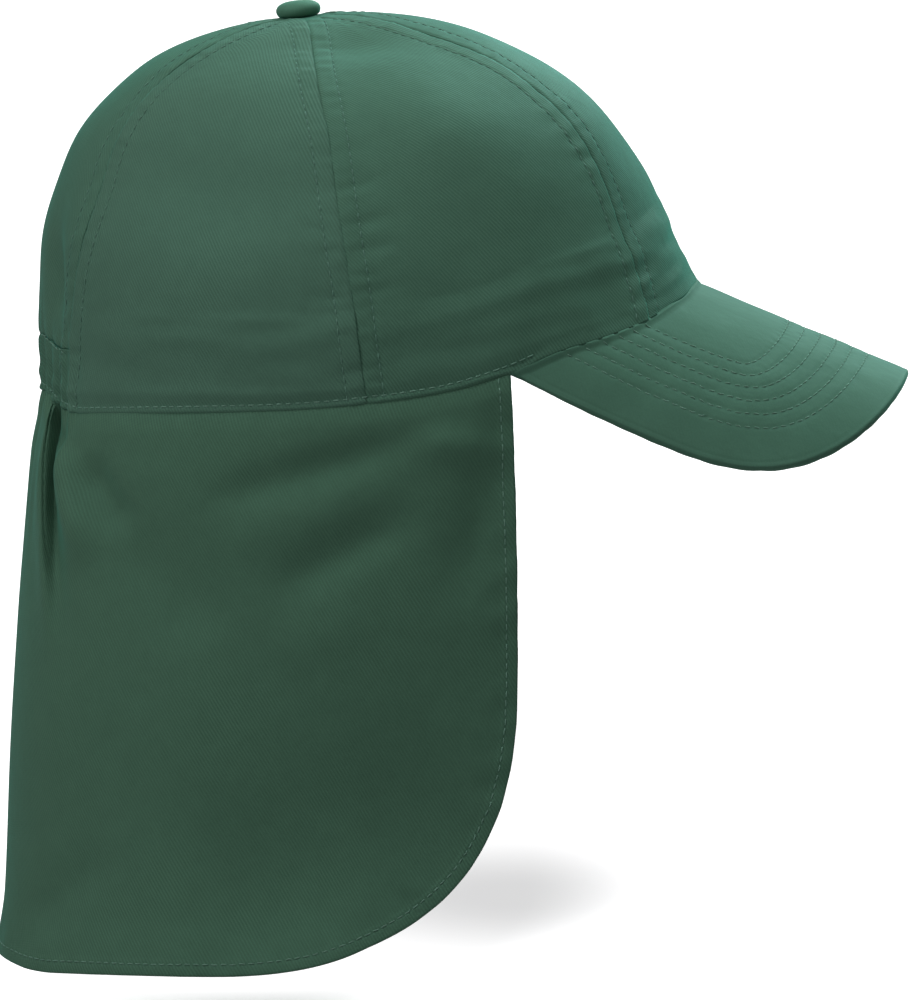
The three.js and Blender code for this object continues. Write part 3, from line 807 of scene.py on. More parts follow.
def rim_relief(place, along, bearing, seed):
    """The rolled lower edge, its stitch row, and the inner band's edge that shows through."""
    roll = rounded_edge(along, RIM_ROLL, RIM_ROLL)
    past_peak = eased((from_front(bearing) - PEAK_CORNER_BEARING + PEAK_FADE_START) / PEAK_FADE_ANGLE)
    row = ROW_GROOVE * hump(along - RIM_ROW, ROW_GROOVE_WIDTH) * past_peak
    lip = RIM_LIP * hump(along - RIM_LIP_PLACE, RIM_LIP_WIDTH) * past_peak
    band = BAND_RIDGE * fading(along, BAND_HEIGHT, BAND_EDGE_FADE)
    band = band * eased((along - BAND_START) / BAND_START)
    band = band + BAND_SWELL * hump(along - BAND_SWELL_PLACE, BAND_SWELL_WIDTH)
    ripples = BAND_RIPPLE * wander(place * BAND_RIPPLE_STRETCH, along, BAND_RIPPLE_SIZE, seed + 40)
    ripples = ripples * eased((along - BAND_START) / BAND_RIPPLE_FADE)
    ripples = ripples * fading(along, BAND_HEIGHT, BAND_RIPPLE_FADE)
    behind = eased((from_front(bearing) - LOW_RIDGE_BEARING) / LOW_RIDGE_FADE_ANGLE)
    low_ridge = LOW_RIDGE * hump(along - LOW_RIDGE_PLACE, LOW_RIDGE_WIDTH) * behind
    flare = FOOT_FLARE * fading(along, 0, FOOT_FLARE_REACH) * (1 - past_peak)
    return lip + band + ripples + low_ridge + flare - roll * past_peak - row


def back_ripples(place, above, strength):
    """Fine gathers drawn up by the elastic, and the groove of the stitch row that closes its casing."""
    shaken = place + RIPPLE_SHAKE * wander(place, above, RIPPLE_SHAKE_SIZE, 61)
    wave = np.sin(2 * np.pi * shaken / RIPPLE_PITCH)
    fade = fading(above, CASING_HEIGHT, RIPPLE_FADE)
    groove = CASING_GROOVE * hump(above - CASING_HEIGHT, CASING_GROOVE_WIDTH)
    draw = ELASTIC_DRAW * hump(above - CASING_HEIGHT / 3, ELASTIC_DRAW_HEIGHT)
    return strength * (RIPPLE * wave * fade - draw) - groove


def seam_at(column, sign, turn=0):
    return lambda rise: turn + sign * read_table(SEAM_ROWS, column, rise)


# Stitches

def stitch_mesh(name, lines, surfaces, material, seed):
    """Short threads along each line, laid on the nearest surface, their ends going into the cloth."""
    random = np.random.default_rng(seed)
    trees = [BVHTree.FromPolygons([tuple(v.co) for v in s.data.vertices],
                                  [tuple(p.vertices) for p in s.data.polygons]) for s in surfaces]
    place_shares, height_shares, radius_shares = np.array(STITCH_ROWS).T
    heights = height_shares * STITCH_ARCH + STITCH_LIFT
    radii = STITCH_RADIUS * radius_shares
    points, faces = [], []
    sides = STITCH_SIDES
    for line in lines:
        if len(line) < 3:
            continue
        length = path_length(line, 0)
        count = max(2, int(length[-1] / STITCH_PITCH))
        pitch = length[-1] / count
        for k in range(count):
            size = STITCH_LENGTH * random.uniform(*STITCH_SHARES)
            middle = (k + 0.5) * pitch + random.uniform(-STITCH_SHAKE, STITCH_SHAKE)
            path = points_along(line, middle + size * place_shares)
            found = [tree.find_nearest(Vector(path[2] * MM)) for tree in trees]
            found = [x for x in found if x[0] is not None]
            if not found:
                continue
            _, normal, _, _ = min(found, key=lambda x: x[3])
            spots = []
            for at in path:
                near = min((tree.find_nearest(Vector(at * MM)) for tree in trees), key=lambda x: x[3])
                spots.append(np.array(near[0]) / MM)
            normal = np.array(normal)
            forward = unit(spots[-1] - spots[0])
            sideways = unit(np.cross(normal, forward))
            first = len(points)
            for spot, height, radius in zip(spots, heights, radii):
                centre = spot + normal * height
                for s in range(sides):
                    angle = 2 * math.pi * s / sides
                    points.append(centre + radius * (math.cos(angle) * sideways
                                                     + math.sin(angle) * normal))
            last = first + (len(path) - 1) * sides
            for ring in range(first, last, sides):
                for s in range(sides):
                    a = ring + s
                    b = ring + (s + 1) % sides
                    faces.append((a, b, b + sides, a + sides))
            faces.append(tuple(first + s for s in reversed(range(sides))))
            faces.append(tuple(last + s for s in range(sides)))
    piece = add_mesh(name, np.array(points), faces, material)
    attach(piece, "root")


# Materials

def linear(colour):
    value = np.array([int(colour[k:k + 2], 16) for k in (1, 3, 5)]) / 255
    return tuple(np.where(value <= 0.04045, value / 12.92, ((value + 0.055) / 1.055) ** 2.4)) + (1.0,)


class Nodes:
    """Short calls for adding linked shader nodes."""

    def __init__(self, material):
        material.use_nodes = True
        self.tree = material.node_tree
        self.shader = self.tree.nodes["Principled BSDF"]

    def add(self, kind, inputs=(), **settings):
        node = self.tree.nodes.new(kind)
        for key, value in settings.items():
            setattr(node, key, value)
        for key, value in dict(inputs).items():
            self.feed(node.inputs[key], value)
        return node

    def feed(self, socket, value):
        if isinstance(value, bpy.types.NodeSocket):
            self.tree.links.new(value, socket)
        else:
            socket.default_value = value

    def shade(self, **values):
        """Set inputs of the shader by name, with a low line for each space."""
        for word, value in values.items():
            self.feed(self.shader.inputs[word.replace("_", " ")], value)

    def math(self, operation, a, b=0.0, c=0.0):
        return self.add("ShaderNodeMath", {0: a, 1: b, 2: c}, operation=operation).outputs[0]

    def noise(self, place, scale, detail=2.0, roughness=0.5):
        inputs = {"Vector": place, "Scale": scale, "Detail": detail, "Roughness": roughness}
        return self.add("ShaderNodeTexNoise", inputs).outputs["Fac"]

    def blend(self, share, a, b, mode="MIX"):
        node = self.add("ShaderNodeMix", data_type="RGBA", blend_type=mode)
        self.feed(node.inputs[0], share)
        self.feed(node.inputs[6], a)
        self.feed(node.inputs[7], b)
        return node.outputs[2]


def twill_weave(n, place, wale_angle):
    """Diagonal wales crossed by fine threads, from about -1 to 1, on the flat cloth."""
    angle = math.radians(wale_angle)
    across = (math.sin(angle), math.cos(angle), 0)
    down = (math.cos(angle), -math.sin(angle), 0)
    over = n.add("ShaderNodeVectorMath", {0: place, 1: across}, operation="DOT_PRODUCT").outputs["Value"]
    run = n.add("ShaderNodeVectorMath", {0: place, 1: down}, operation="DOT_PRODUCT").outputs["Value"]
    over = n.math("ADD", over, n.math("MULTIPLY", n.noise(place, WALE_SHAKE_SCALE), WALE_SHAKE))
    wales = n.math("SINE", n.math("MULTIPLY", over, 2 * math.pi / WALE_PITCH))
    turned = n.math("MULTIPLY", over, math.pi / WALE_PITCH)
    threads = n.math("SINE", n.math("MULTIPLY_ADD", run, 2 * math.pi / THREAD_PITCH, turned))
    return n.math("MULTIPLY", wales, n.math("MULTIPLY_ADD", threads, THREAD_DEPTH, WALE_DEPTH))


def cloth_material(name, colour, sheen=0.22, roughness=0.62, wale_angle=WALE_ANGLE, contrast=0.46,
                   gloss=0.16):
    material = bpy.data.materials.new(name)
    n = Nodes(material)
    base = linear(colour)
    place = n.add("ShaderNodeTexCoord").outputs["UV"]
    solid = n.add("ShaderNodeTexCoord").outputs["Object"]
    weave = twill_weave(n, place, wale_angle)
    fuzz = n.noise(place, FUZZ_SCALE, 3.0, 0.7)
    mottle = n.noise(solid, MOTTLE_SCALE, 3.0, 0.6)
    patches = n.noise(solid, PATCH_SCALE, 3.0, 0.55)
    clearness = n.math("MULTIPLY_ADD", patches, 2.4, -0.2)
    light = n.math("MULTIPLY_ADD", n.math("MULTIPLY", weave, clearness), contrast / 2, 0.5)
    for layer, strength in ((fuzz, FUZZ_TONE), (mottle, MOTTLE_TONE), (patches, PATCH_TONE)):
        light = n.math("ADD", light, n.math("MULTIPLY_ADD", layer, strength, -strength / 2))
    dark = tuple(c * DARK_SHARE for c in base[:3]) + (1.0,)
    bright = tuple(min(c * BRIGHT_SHARE, 1) for c in base[:3]) + (1.0,)
    ramp = n.add("ShaderNodeValToRGB", {"Fac": light})
    ramp.color_ramp.elements[0].color = dark
    ramp.color_ramp.elements[1].color = bright
    n.shade(Base_Color=ramp.outputs["Color"],
            Roughness=n.math("MULTIPLY_ADD", fuzz, ROUGHNESS_SPREAD, roughness - ROUGHNESS_SPREAD / 2))
    height = n.math("MULTIPLY_ADD", weave, contrast / 0.3, fuzz)
    bump = n.add("ShaderNodeBump", {"Height": height, "Strength": 0.5, "Distance": WEAVE_DEPTH})
    crumple = n.noise(solid, CRUMPLE_SCALE, 3.0, 0.55)
    soft = n.add("ShaderNodeBump", {"Height": crumple, "Strength": 0.3, "Distance": CRUMPLE_DEPTH,
                                    "Normal": bump.outputs["Normal"]})
    n.shade(Normal=soft.outputs["Normal"], Specular_IOR_Level=gloss, Specular_Tint=GLOSS_TINT,
            Sheen_Weight=sheen, Sheen_Roughness=SHEEN_ROUGHNESS, Sheen_Tint=CLOTH_TINT)
    return material


def thread_material(name, colour):
    material = bpy.data.materials.new(name)
    n = Nodes(material)
    solid = n.add("ShaderNodeTexCoord").outputs["Object"]
    base = linear(colour)
    dark = tuple(c * STITCH_DARK_SHARE for c in base[:3]) + (1.0,)
    tone = n.noise(solid, STITCH_TONE_SCALE)
    n.shade(Base_Color=n.blend(tone, dark, base), Roughness=0.6)
    fine = n.noise(solid, STITCH_FIBRE_SCALE)
    bump = n.add("ShaderNodeBump", {"Height": fine, "Strength": 0.4, "Distance": STITCH_FIBRE_DEPTH})
    n.shade(Normal=bump.outputs["Normal"], Sheen_Weight=0.2, Sheen_Tint=CLOTH_TINT)
    return material


# Every piece is the same green cloth. Their slightly different tones follow how light or shade fell on each
# piece, so they are painted light and shade.
FRONT_CLOTH = cloth_material("front_cloth", "#486757", sheen=0.45, gloss=0.2)
FRONT_SIDE_CLOTH = cloth_material("front_side_cloth", "#4a6958", sheen=0.45, gloss=0.2)
BACK_SIDE_CLOTH = cloth_material("back_side_cloth", "#4d6c5c", wale_angle=58)
BACK_CLOTH = cloth_material("back_cloth", "#4b6b5a", wale_angle=50)
CASING_CLOTH = cloth_material("casing_cloth", "#476756", wale_angle=50)
PEAK_CLOTH = cloth_material("peak_cloth", "#4a6c5b", wale_angle=35, contrast=0.03, sheen=0.2, gloss=0.1)
FLAP_CLOTH_LOOK = cloth_material("flap_cloth", "#4b6b58", wale_angle=60)
# The button's cloth is the cap's green made lighter for the light on its top: painted light.
BUTTON_CLOTH = cloth_material("button_cloth", "#527a66", contrast=0.05)
LIGHT_THREAD = thread_material("light_thread", "#6d9482")
SEAM_THREAD = thread_material("seam_thread", "#5a8170")


# The crown, piece by piece

def build_crown():
    made, rows = {}, {}

    def add(node, *described, **more):
        made[node], rows[node] = crown_panel(node, *described, **more)

    whole = (rim_rise, eyelet_rise)
    for word, sign in (("right", -1), ("left", 1)):
        for name, columns, cloth, seam_seeds, seed, pulled in (
                ("front_side", (FRONT_SEAM, SIDE_SEAM), FRONT_SIDE_CLOTH, (3, 4), 5, FRONT_SIDE_PULLS),
                ("back_side", (SIDE_SEAM, BACK_SEAM), BACK_SIDE_CLOTH, (6, 7), 8, BACK_SIDE_PULLS)):
            seams = [seam_at(column, sign) for column in columns[::sign]]
            add(f"{name}_panel_{word}", f"{name}_cloth", seams, whole, CROWN_PATH, cloth,
                (*seam_seeds[::sign], seed), pulled[::sign])
    front_pair = (seam_at(FRONT_SEAM, -1), seam_at(FRONT_SEAM, 1))
    add("front_panel", "front_cloth", front_pair, whole, CROWN_PATH, FRONT_CLOTH, (1, 2, 9))
    back_pair = (seam_at(BACK_SEAM, 1), seam_at(BACK_SEAM, -1, 360))
    add("back_panel", "back_cloth", back_pair, (casing_rise, eyelet_rise), CROWN_PATH - CASING_HEIGHT,
        BACK_CLOTH, (10, 11, 12), has_rim=False, elastic=1.0)
    add("elastic_casing", "casing_cloth", back_pair, (rim_rise, casing_rise), CASING_HEIGHT,
        CASING_CLOTH, (13, 14, 15), elastic=1.0)
    return made, rows


crown, crown_rows = build_crown()


def crown_line(from_bearing, to_bearing, rise_at, above):
    """A line on the crown a set height above its rim or its casing."""
    bearing = np.linspace(from_bearing, to_bearing, CROWN_LINE_SAMPLES)
    line = dome_point(bearing, rise_at(bearing))
    line[:, 2] += np.minimum(rim_height(bearing), 0)
    normal = dome_normal(bearing, rise_at(bearing))
    up = unit(np.cross(normal, np.gradient(line, axis=0)))
    return line + up * above


panels = list(crown.values())
seam_lines = [row for rows in crown_rows.values() for row in rows]
stitch_mesh("seam_stitches", seam_lines, panels, SEAM_THREAD, 21)
rim_start = PEAK_CORNER_BEARING - RIM_ROW_START_ANGLE
rim_lines = [crown_line(rim_start, 360 - rim_start, rim_rise, RIM_ROW)]
stitch_mesh("rim_stitches", rim_lines, panels, LIGHT_THREAD, 22)
back_seam_foot = SEAM_ROWS[0][BACK_SEAM] + CASING_ROW_START_ANGLE
casing_lines = [crown_line(back_seam_foot, 360 - back_seam_foot, casing_rise, CASING_ROW)]
stitch_mesh("casing_stitches", casing_lines, panels, LIGHT_THREAD, 23)


# Peak

def peak_line(bearing, step):
    outward = dome_normal(bearing, rim_rise(bearing))
    outward[..., 2] = 0
    point = rim_point(bearing) + unit(outward) * step
    point[..., 2] -= SEAM_GAP
    return point


SLOPE = math.radians(PEAK_SLOPE)
PEAK_ROOT = peak_line(np.array(0.0), PEAK_STEP)
PEAK_FORWARD = np.array([math.cos(SLOPE), 0, -math.sin(SLOPE)])
PEAK_NORMAL = np.array([math.sin(SLOPE), 0, math.cos(SLOPE)])


def bent_point(across, forward, lift):
    angle = across / PEAK_BEND_RADIUS
    radius = PEAK_BEND_RADIUS + lift
    up = radius * np.cos(angle) - PEAK_BEND_RADIUS
    point = PEAK_ROOT + forward[..., None] * PEAK_FORWARD + up[..., None] * PEAK_NORMAL
    point[..., 1] += radius * np.sin(angle)
    return point


def flat_place(point):
    offset = point - PEAK_ROOT
    up = offset @ PEAK_NORMAL + PEAK_BEND_RADIUS
    across = PEAK_BEND_RADIUS * np.arctan2(offset[..., 1], up)
    return across, offset @ PEAK_FORWARD, np.hypot(offset[..., 1], up) - PEAK_BEND_RADIUS


def peak_joint(share):
    return flat_place(peak_line(share * PEAK_CORNER_BEARING, PEAK_STEP - PEAK_TUCK))


def peak_edge(share):
    side = np.where(share < 0, -1.0, 1.0)
    along = np.abs(share)
    angle = np.minimum(along / PEAK_NOSE_SHARE, 1) * np.pi / 2
    power = 2 / PEAK_ROUNDNESS
    nose_across = side * PEAK_HALF_WIDTH * np.sin(angle) ** power
    nose_forward = PEAK_SHOULDER + (PEAK_LENGTH - PEAK_SHOULDER) * np.maximum(np.cos(angle), 0) ** power
    corner_across, corner_forward, corner_lift = peak_joint(side)
    back = np.clip((along - PEAK_NOSE_SHARE) / (1 - PEAK_NOSE_SHARE), 0, 1)
    side_across = side * mix(PEAK_HALF_WIDTH, np.abs(corner_across), back ** PEAK_SIDE_CURVE)
    side_forward = mix(PEAK_SHOULDER, corner_forward + PEAK_CORNER_LENGTH, back)
    at_nose = along <= PEAK_NOSE_SHARE
    return (np.where(at_nose, nose_across, side_across), np.where(at_nose, nose_forward, side_forward),
            np.where(at_nose, 0, corner_lift * back))


def edge_distances(points, edge):
    """For each flat point, its distance from an edge line, and how far along the line that is."""
    along = np.arange(0, path_length(edge, 0)[-1], LINE_SPACING)
    tree = flat_tree(points_along(edge, along))
    found = [tree.find((p[0], p[1], 0)) for p in points.reshape(-1, 2)]
    distance = np.array([f[2] for f in found]).reshape(points.shape[:-1])
    place = np.array([along[f[1]] for f in found]).reshape(points.shape[:-1])
    return distance, place


def beside(edge, offset):
    """A flat line moved to its right by an offset."""
    tangent = unit(np.gradient(edge, axis=0))
    return edge + offset * np.stack([tangent[:, 1], -tangent[:, 0]], axis=-1)


def even_shares(function, count):
    """Shares from -1 to 1 that lie evenly along a flat line."""
    dense = np.linspace(-1, 1, LINE_SAMPLES)
    across, forward, _ = function(dense)
    length = path_length(np.stack([across, forward], axis=-1), 0)
    return np.interp(np.linspace(0, length[-1], count), length, dense)


def build_peak():
    shares = even_shares(peak_edge, PEAK_COLUMNS)
    joint = peak_joint(shares)
    edge = peak_edge(shares)
    out = odd_count(steps_of(PEAK_DEPTH, PEAK_STEPS)) / PEAK_DEPTH
    mixed = [mix(e, j, out[:, None]) for e, j in zip(edge, joint)]
    across, forward, lift = mixed
    flat = np.stack([across, forward], axis=-1)
    distance, along = edge_distances(flat, np.stack(edge[:2], axis=-1))
    at_corner = eased((np.abs(shares) - PEAK_CORNER_START) / (1 - PEAK_CORNER_START))
    thickness = (PEAK_THICKNESS * (1 - at_corner / 2))[None, :]
    rounding = rounded_edge(distance, thickness * PEAK_EDGE_ROUND, thickness / 2)
    relief = 0
    for k in range(PEAK_ROW_COUNT):
        away = distance - PEAK_ROW_FIRST - k * PEAK_ROW_STEP
        groove = PEAK_ROW_GROOVE * hump(away, PEAK_ROW_WIDTH) * wavy(along, STITCH_PITCH, PEAK_ROW_WAVE)
        pucker = PEAK_PUCKER * wander(along, away / 2, PEAK_PUCKER_SIZE, 70 + k)
        relief = relief - groove + pucker * hump(away, PEAK_PUCKER_WIDTH)
    relief = relief + PEAK_WANDER * wander(across, forward, PEAK_WANDER_SIZE, 77)
    relief = relief - PEAK_EDGE_GROOVE * hump(distance - PEAK_EDGE_GROOVE_PLACE, PEAK_EDGE_GROOVE_WIDTH)
    from_joint = np.hypot(across - joint[0], forward - joint[1])
    crease = PEAK_CREASE * hump(from_joint - PEAK_CREASE_PLACE, PEAK_CREASE_WIDTH)
    relief = relief - crease * (1 - at_corner)
    seated = fading(from_joint, 0, PEAK_SEAT_REACH)
    top = bent_point(across, forward, lift + PEAK_SEAT * seated - rounding * (1 - seated) + relief)
    bottom_lift = lift - thickness + rounding - relief * PEAK_LOW_SHARE
    bottom = bent_point(across, forward, bottom_lift)[::2, ::2]
    piece = wall_mesh("peak_cloth", top, bottom, flat, PEAK_CLOTH)
    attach(piece, "root")
    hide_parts("peak")
    return piece


def peak_rows():
    """The stitch rows: lines a set distance inside the outer edge, as far as the joint."""
    shares = even_shares(peak_edge, PEAK_ROW_SAMPLES)
    across, forward, lift = peak_edge(shares)
    edge = np.stack([across, forward], axis=-1)
    joint = peak_joint(np.linspace(-1, 1, JOINT_SAMPLES))
    lines = []
    for k in range(PEAK_ROW_COUNT):
        offset = PEAK_ROW_FIRST + k * PEAK_ROW_STEP
        places = beside(edge, offset)
        distance, _ = edge_distances(places, edge)
        behind = np.interp(places[:, 0], joint[0], joint[1])
        keep = (distance > offset - ROW_SLACK) & (places[:, 1] > behind + ROW_END_GAP)
        places = places[keep]
        lifts = np.interp(places[:, 0], joint[0], joint[2]) * 0.5
        lines.append(bent_point(places[:, 0], places[:, 1], lifts))
    return lines


peak_piece = build_peak()
stitch_mesh("peak_stitches", peak_rows(), [peak_piece], LIGHT_THREAD, 24)


# Neck flap

def fold_height(bearing, drop):
    per_degree = math.radians(1) * (BACK_REACH + HALF_WIDTH) / 2
    x = from_front(bearing) * per_degree
    y = drop * FLAP_LENGTH
    height = 0
    for from_bearing, from_drop, to_bearing, to_drop, width, depth in FOLD_ROWS:
        ax, ay = from_bearing * per_degree, from_drop * FLAP_LENGTH
        lx, ly = to_bearing * per_degree - ax, to_drop * FLAP_LENGTH - ay
        length = math.hypot(lx, ly)
        share = ((x - ax) * lx + (y - ay) * ly) / length ** 2
        away = ((x - ax) * ly - (y - ay) * lx) / length
        ends = eased((share + FOLD_FADE) / FOLD_END) * eased((1 + FOLD_FADE - share) / FOLD_END)
        height = height + depth * FOLD_DEPTH * hump(away, width * FOLD_WIDTH) * ends
    return height * eased(drop * FLAP_LENGTH / FOLD_START)


def back_pleat(bearing, drop):
    """The tight pleat beside the back: how far its cloth slides round the rim, and how far out."""
    from_back = 180 - from_front(bearing) - PLEAT_DRIFT * drop
    fade = eased(drop * FLAP_LENGTH / PLEAT_TOP) * fading(drop, PLEAT_FADE_DROP, PLEAT_LENGTH)
    ridge = hump(from_back - PLEAT_ANGLE, PLEAT_WIDTH) * fade
    valley = hump(from_back - PLEAT_ANGLE - PLEAT_SPREAD, PLEAT_WIDTH) * fade
    side = np.where(bearing > 180, -1, 1)
    slide = side * (PLEAT_DRAW * ridge - PLEAT_RETURN * valley)
    return slide, PLEAT_RISE * ridge - PLEAT_SINK * valley


def hanging_point(bearing, drop):
    bearing, drop = np.broadcast_arrays(bearing, drop)
    fore = np.cos(np.radians(bearing))
    rim = rim_point(bearing)
    corner = math.cos(math.radians(PEAK_CORNER_BEARING))
    flare = np.where(
        fore > 0,
        FRONT_FLARE * read_table(FLAP_ROWS, FLARE_FRONT, drop) * eased(fore / corner),
        -BACK_FLARE * read_table(FLAP_ROWS, FLARE_BACK, drop) * fore * fore)
    draw = 1 - (SIDE_DRAW / HALF_WIDTH) * read_table(FLAP_ROWS, DRAW_SIDE, drop)
    top = rim[..., 2] - RIM_GAP
    hem_rise = BACK_HEM_RISE * (1 - eased((180 - from_front(bearing)) / BACK_HEM_ANGLE))
    return np.stack([rim[..., 0] + flare, rim[..., 1] * draw,
                     mix(top, hem_rise - FLAP_LENGTH, drop)], axis=-1)


def flap_columns():
    """Bearings of the flap's columns, evenly spaced on the rim, with how far each one falls."""
    start = PEAK_CORNER_BEARING + FLAP_FRONT_GAP_ANGLE
    dense = np.linspace(start, 360 - start, RIM_SAMPLES)
    length = path_length(rim_point(dense), 0)
    half = length[-1] / 2
    back_steps = tuple((half - from_back, step) for from_back, step in FLAP_BACK_STEPS)
    corner = steps_of(half, FLAP_SIDE_STEPS + back_steps)
    places = np.array(corner + [length[-1] - x for x in reversed(corner[:-1])])
    bearing = np.interp(places, length, dense)
    away = np.clip((from_front(bearing) - start) / CORNER_SPAN, 0, 1)
    cut = 1 - (1 - away) ** CORNER_ROUNDNESS
    fall = 1 - (CORNER_CUT / FLAP_LENGTH) * (1 - np.maximum(cut, 0) ** (1 / CORNER_ROUNDNESS))
    return bearing, fall, places


def build_flap():
    bearing, fall, places = flap_columns()
    down_mm = odd_count(steps_of(FLAP_LENGTH, FLAP_STEPS))
    down = (down_mm / FLAP_LENGTH)[::-1, None]
    drop = down * fall[None, :]
    across = bearing[None, :] + 0 * drop
    turn = 0.5
    base = hanging_point(across, drop)
    around = hanging_point(across + turn, drop) - hanging_point(across - turn, drop)
    outward = unit(np.stack([around[..., 1], -around[..., 0], 0 * drop], axis=-1))
    fallen = drop * FLAP_LENGTH
    middle = places[-1] / 2
    flat = np.stack([places[None, :] - middle + 0 * drop, -fallen], axis=-1)
    border = np.concatenate([flat[::-1, 0], flat[0, 1:], flat[1:, -1]])
    distance, along = edge_distances(flat, border)
    slide, out = back_pleat(across, drop)
    base[..., 1] += slide
    calm = 1 - GATHER_CALM * eased(fallen / GATHER_CALM_REACH)
    smooth = gather(across, fallen) * calm + fold_height(across, drop) + out
    broad = FLAP_WANDER * wander(flat[..., 0], flat[..., 1], FLAP_WANDER_SIZE, 31)
    smooth = smooth + broad * eased(fallen / FLAP_WANDER_REACH)
    at_hem = fading(distance, 0, HEM_FLIP_REACH)
    at_hem = at_hem * eased((from_front(across) - HEM_FLIP_BEARING) / HEM_FLIP_ANGLE)
    smooth = smooth + HEM_FLIP * at_hem * eased((fallen - HEM_FLIP_DROP) / HEM_FLIP_DROP)
    tuck_in = FLAP_TUCK_DEPTH * fading(fallen, 0, FLAP_TUCK_HEIGHT)
    below_rim = eased(fallen / FLAP_TUCK_REACH)
    padding = below_rim * fading(fallen, FLAP_PADDING_START, FLAP_PADDING_REACH)
    tuck_in = tuck_in - FLAP_SEAM_PADDING * padding
    near_back = 1 - eased((180 - from_front(across) - BACK_DRAW_ANGLE) / BACK_DRAW_FADE)
    tuck_in = tuck_in + ELASTIC_DRAW * near_back * fading(fallen, 0, BACK_DRAW_REACH)
    groove = HEM_GROOVE * hump(distance - HEM_ROW, ROW_GROOVE_WIDTH) * wavy(along, STITCH_PITCH, ROW_WAVE)
    relief = HEM_RIDGE * (1 - eased(distance - HEM_WIDTH)) - groove
    ripple = HEM_RIPPLE * wander(along, distance * HEM_RIPPLE_STRETCH, HEM_RIPPLE_SIZE, 32)
    ripple = ripple * fading(distance, HEM_RIPPLE_START, HEM_RIPPLE_REACH)
    edge_round = rounded_edge(distance, HEM_EDGE_REACH, FLAP_CLOTH / 2)
    relief = (relief + ripple) * eased(fallen / HEM_RELIEF_DROP) - edge_round
    outer = base + outward * (smooth + relief - tuck_in)[..., None]
    inner_lift = smooth - tuck_in - FLAP_CLOTH + HEM_RIPPLE_INSIDE * ripple + edge_round
    inner = base + outward * inner_lift[..., None]
    for side in (outer, inner):
        side[..., 2] += FLAP_TUCK * (1 - below_rim)
    piece = wall_mesh("neck_flap_cloth", outer, inner[::2, ::2], flat, FLAP_CLOTH_LOOK)
    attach(piece, "root")
    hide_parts("neck_flap")
    return piece, hem_rows(flat, outer, border)


def hem_rows(flat, outer, border):
    """The line HEM_ROW inside the flap's border, read from the nearest grid points."""
    along = np.arange(0, path_length(border, 0)[-1], HEM_LINE_STEP)
    places = beside(points_along(border, along), -HEM_ROW)
    distance, _ = edge_distances(places, border)
    places = places[(distance > HEM_ROW - HEM_LINE_SLACK) & (places[:, 1] < -HEM_LINE_TOP)]
    tree = flat_tree(flat.reshape(-1, 2))
    spots = outer.reshape(-1, 3)
    line = []
    for p in places:
        found = tree.find_n((p[0], p[1], 0), 4)
        weights = np.array([1 / (f[2] + 0.05) for f in found])
        near = np.array([spots[f[1]] for f in found])
        line.append((near * weights[:, None]).sum(axis=0) / weights.sum())
    return [np.array(line)]


flap_piece, flap_lines = build_flap()
stitch_mesh("hem_stitches", flap_lines, [flap_piece], LIGHT_THREAD, 25)


# Button

def build_button():
    profile = []
    for angle in np.linspace(0, np.pi / 2, 10):
        profile.append((mix(BUTTON_FOOT_RADIUS, BUTTON_RADIUS, math.sin(angle)),
                        BUTTON_EDGE_HEIGHT * (1 - math.cos(angle))))
    for angle in np.linspace(0, np.pi / 2, 22)[1:]:
        profile.append((BUTTON_RADIUS * max(math.cos(angle), 0.0005) ** BUTTON_DOME_POWER,
                        mix(BUTTON_EDGE_HEIGHT, BUTTON_HEIGHT, math.sin(angle))))
    foot = [(0.02, -BUTTON_SINK), (BUTTON_FOOT_RADIUS * BUTTON_FOOT_SHARE, -BUTTON_SINK)]
    profile = foot + profile
    sides = BUTTON_SIDES
    points, flat = [], []
    for radius, height in profile:
        for s in range(sides):
            angle = 2 * math.pi * s / sides
            wobble = 1 + sum(size * math.sin(waves * angle + turn) for size, waves, turn in BUTTON_WOBBLES)
            points.append((radius * wobble * math.cos(angle), radius * wobble * math.sin(angle), height))
            flat.append((radius * math.cos(angle), radius * math.sin(angle)))
    at = np.arange(len(points)).reshape(len(profile), sides)
    at = np.concatenate([at, at[:, :1]], axis=1)
    faces = grid_faces(at)
    faces.append(tuple(int(x) for x in at[0, :-1][::-1]))
    faces.append(tuple(int(x) for x in at[-1, :-1]))
    points = np.array(points)
    tilt = -math.radians(BUTTON_TILT)
    x = points[:, 0] * math.cos(tilt) + points[:, 2] * math.sin(tilt)
    z = -points[:, 0] * math.sin(tilt) + points[:, 2] * math.cos(tilt)
    points = np.stack([x, points[:, 1], z], axis=-1) + dome_point(np.array(0.0), np.array(1.0))
    piece = add_mesh("button_cloth", points, faces, BUTTON_CLOTH, flat)
    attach(piece, "root")
    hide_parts("top_button")


build_button()


# Floor, lights and camera

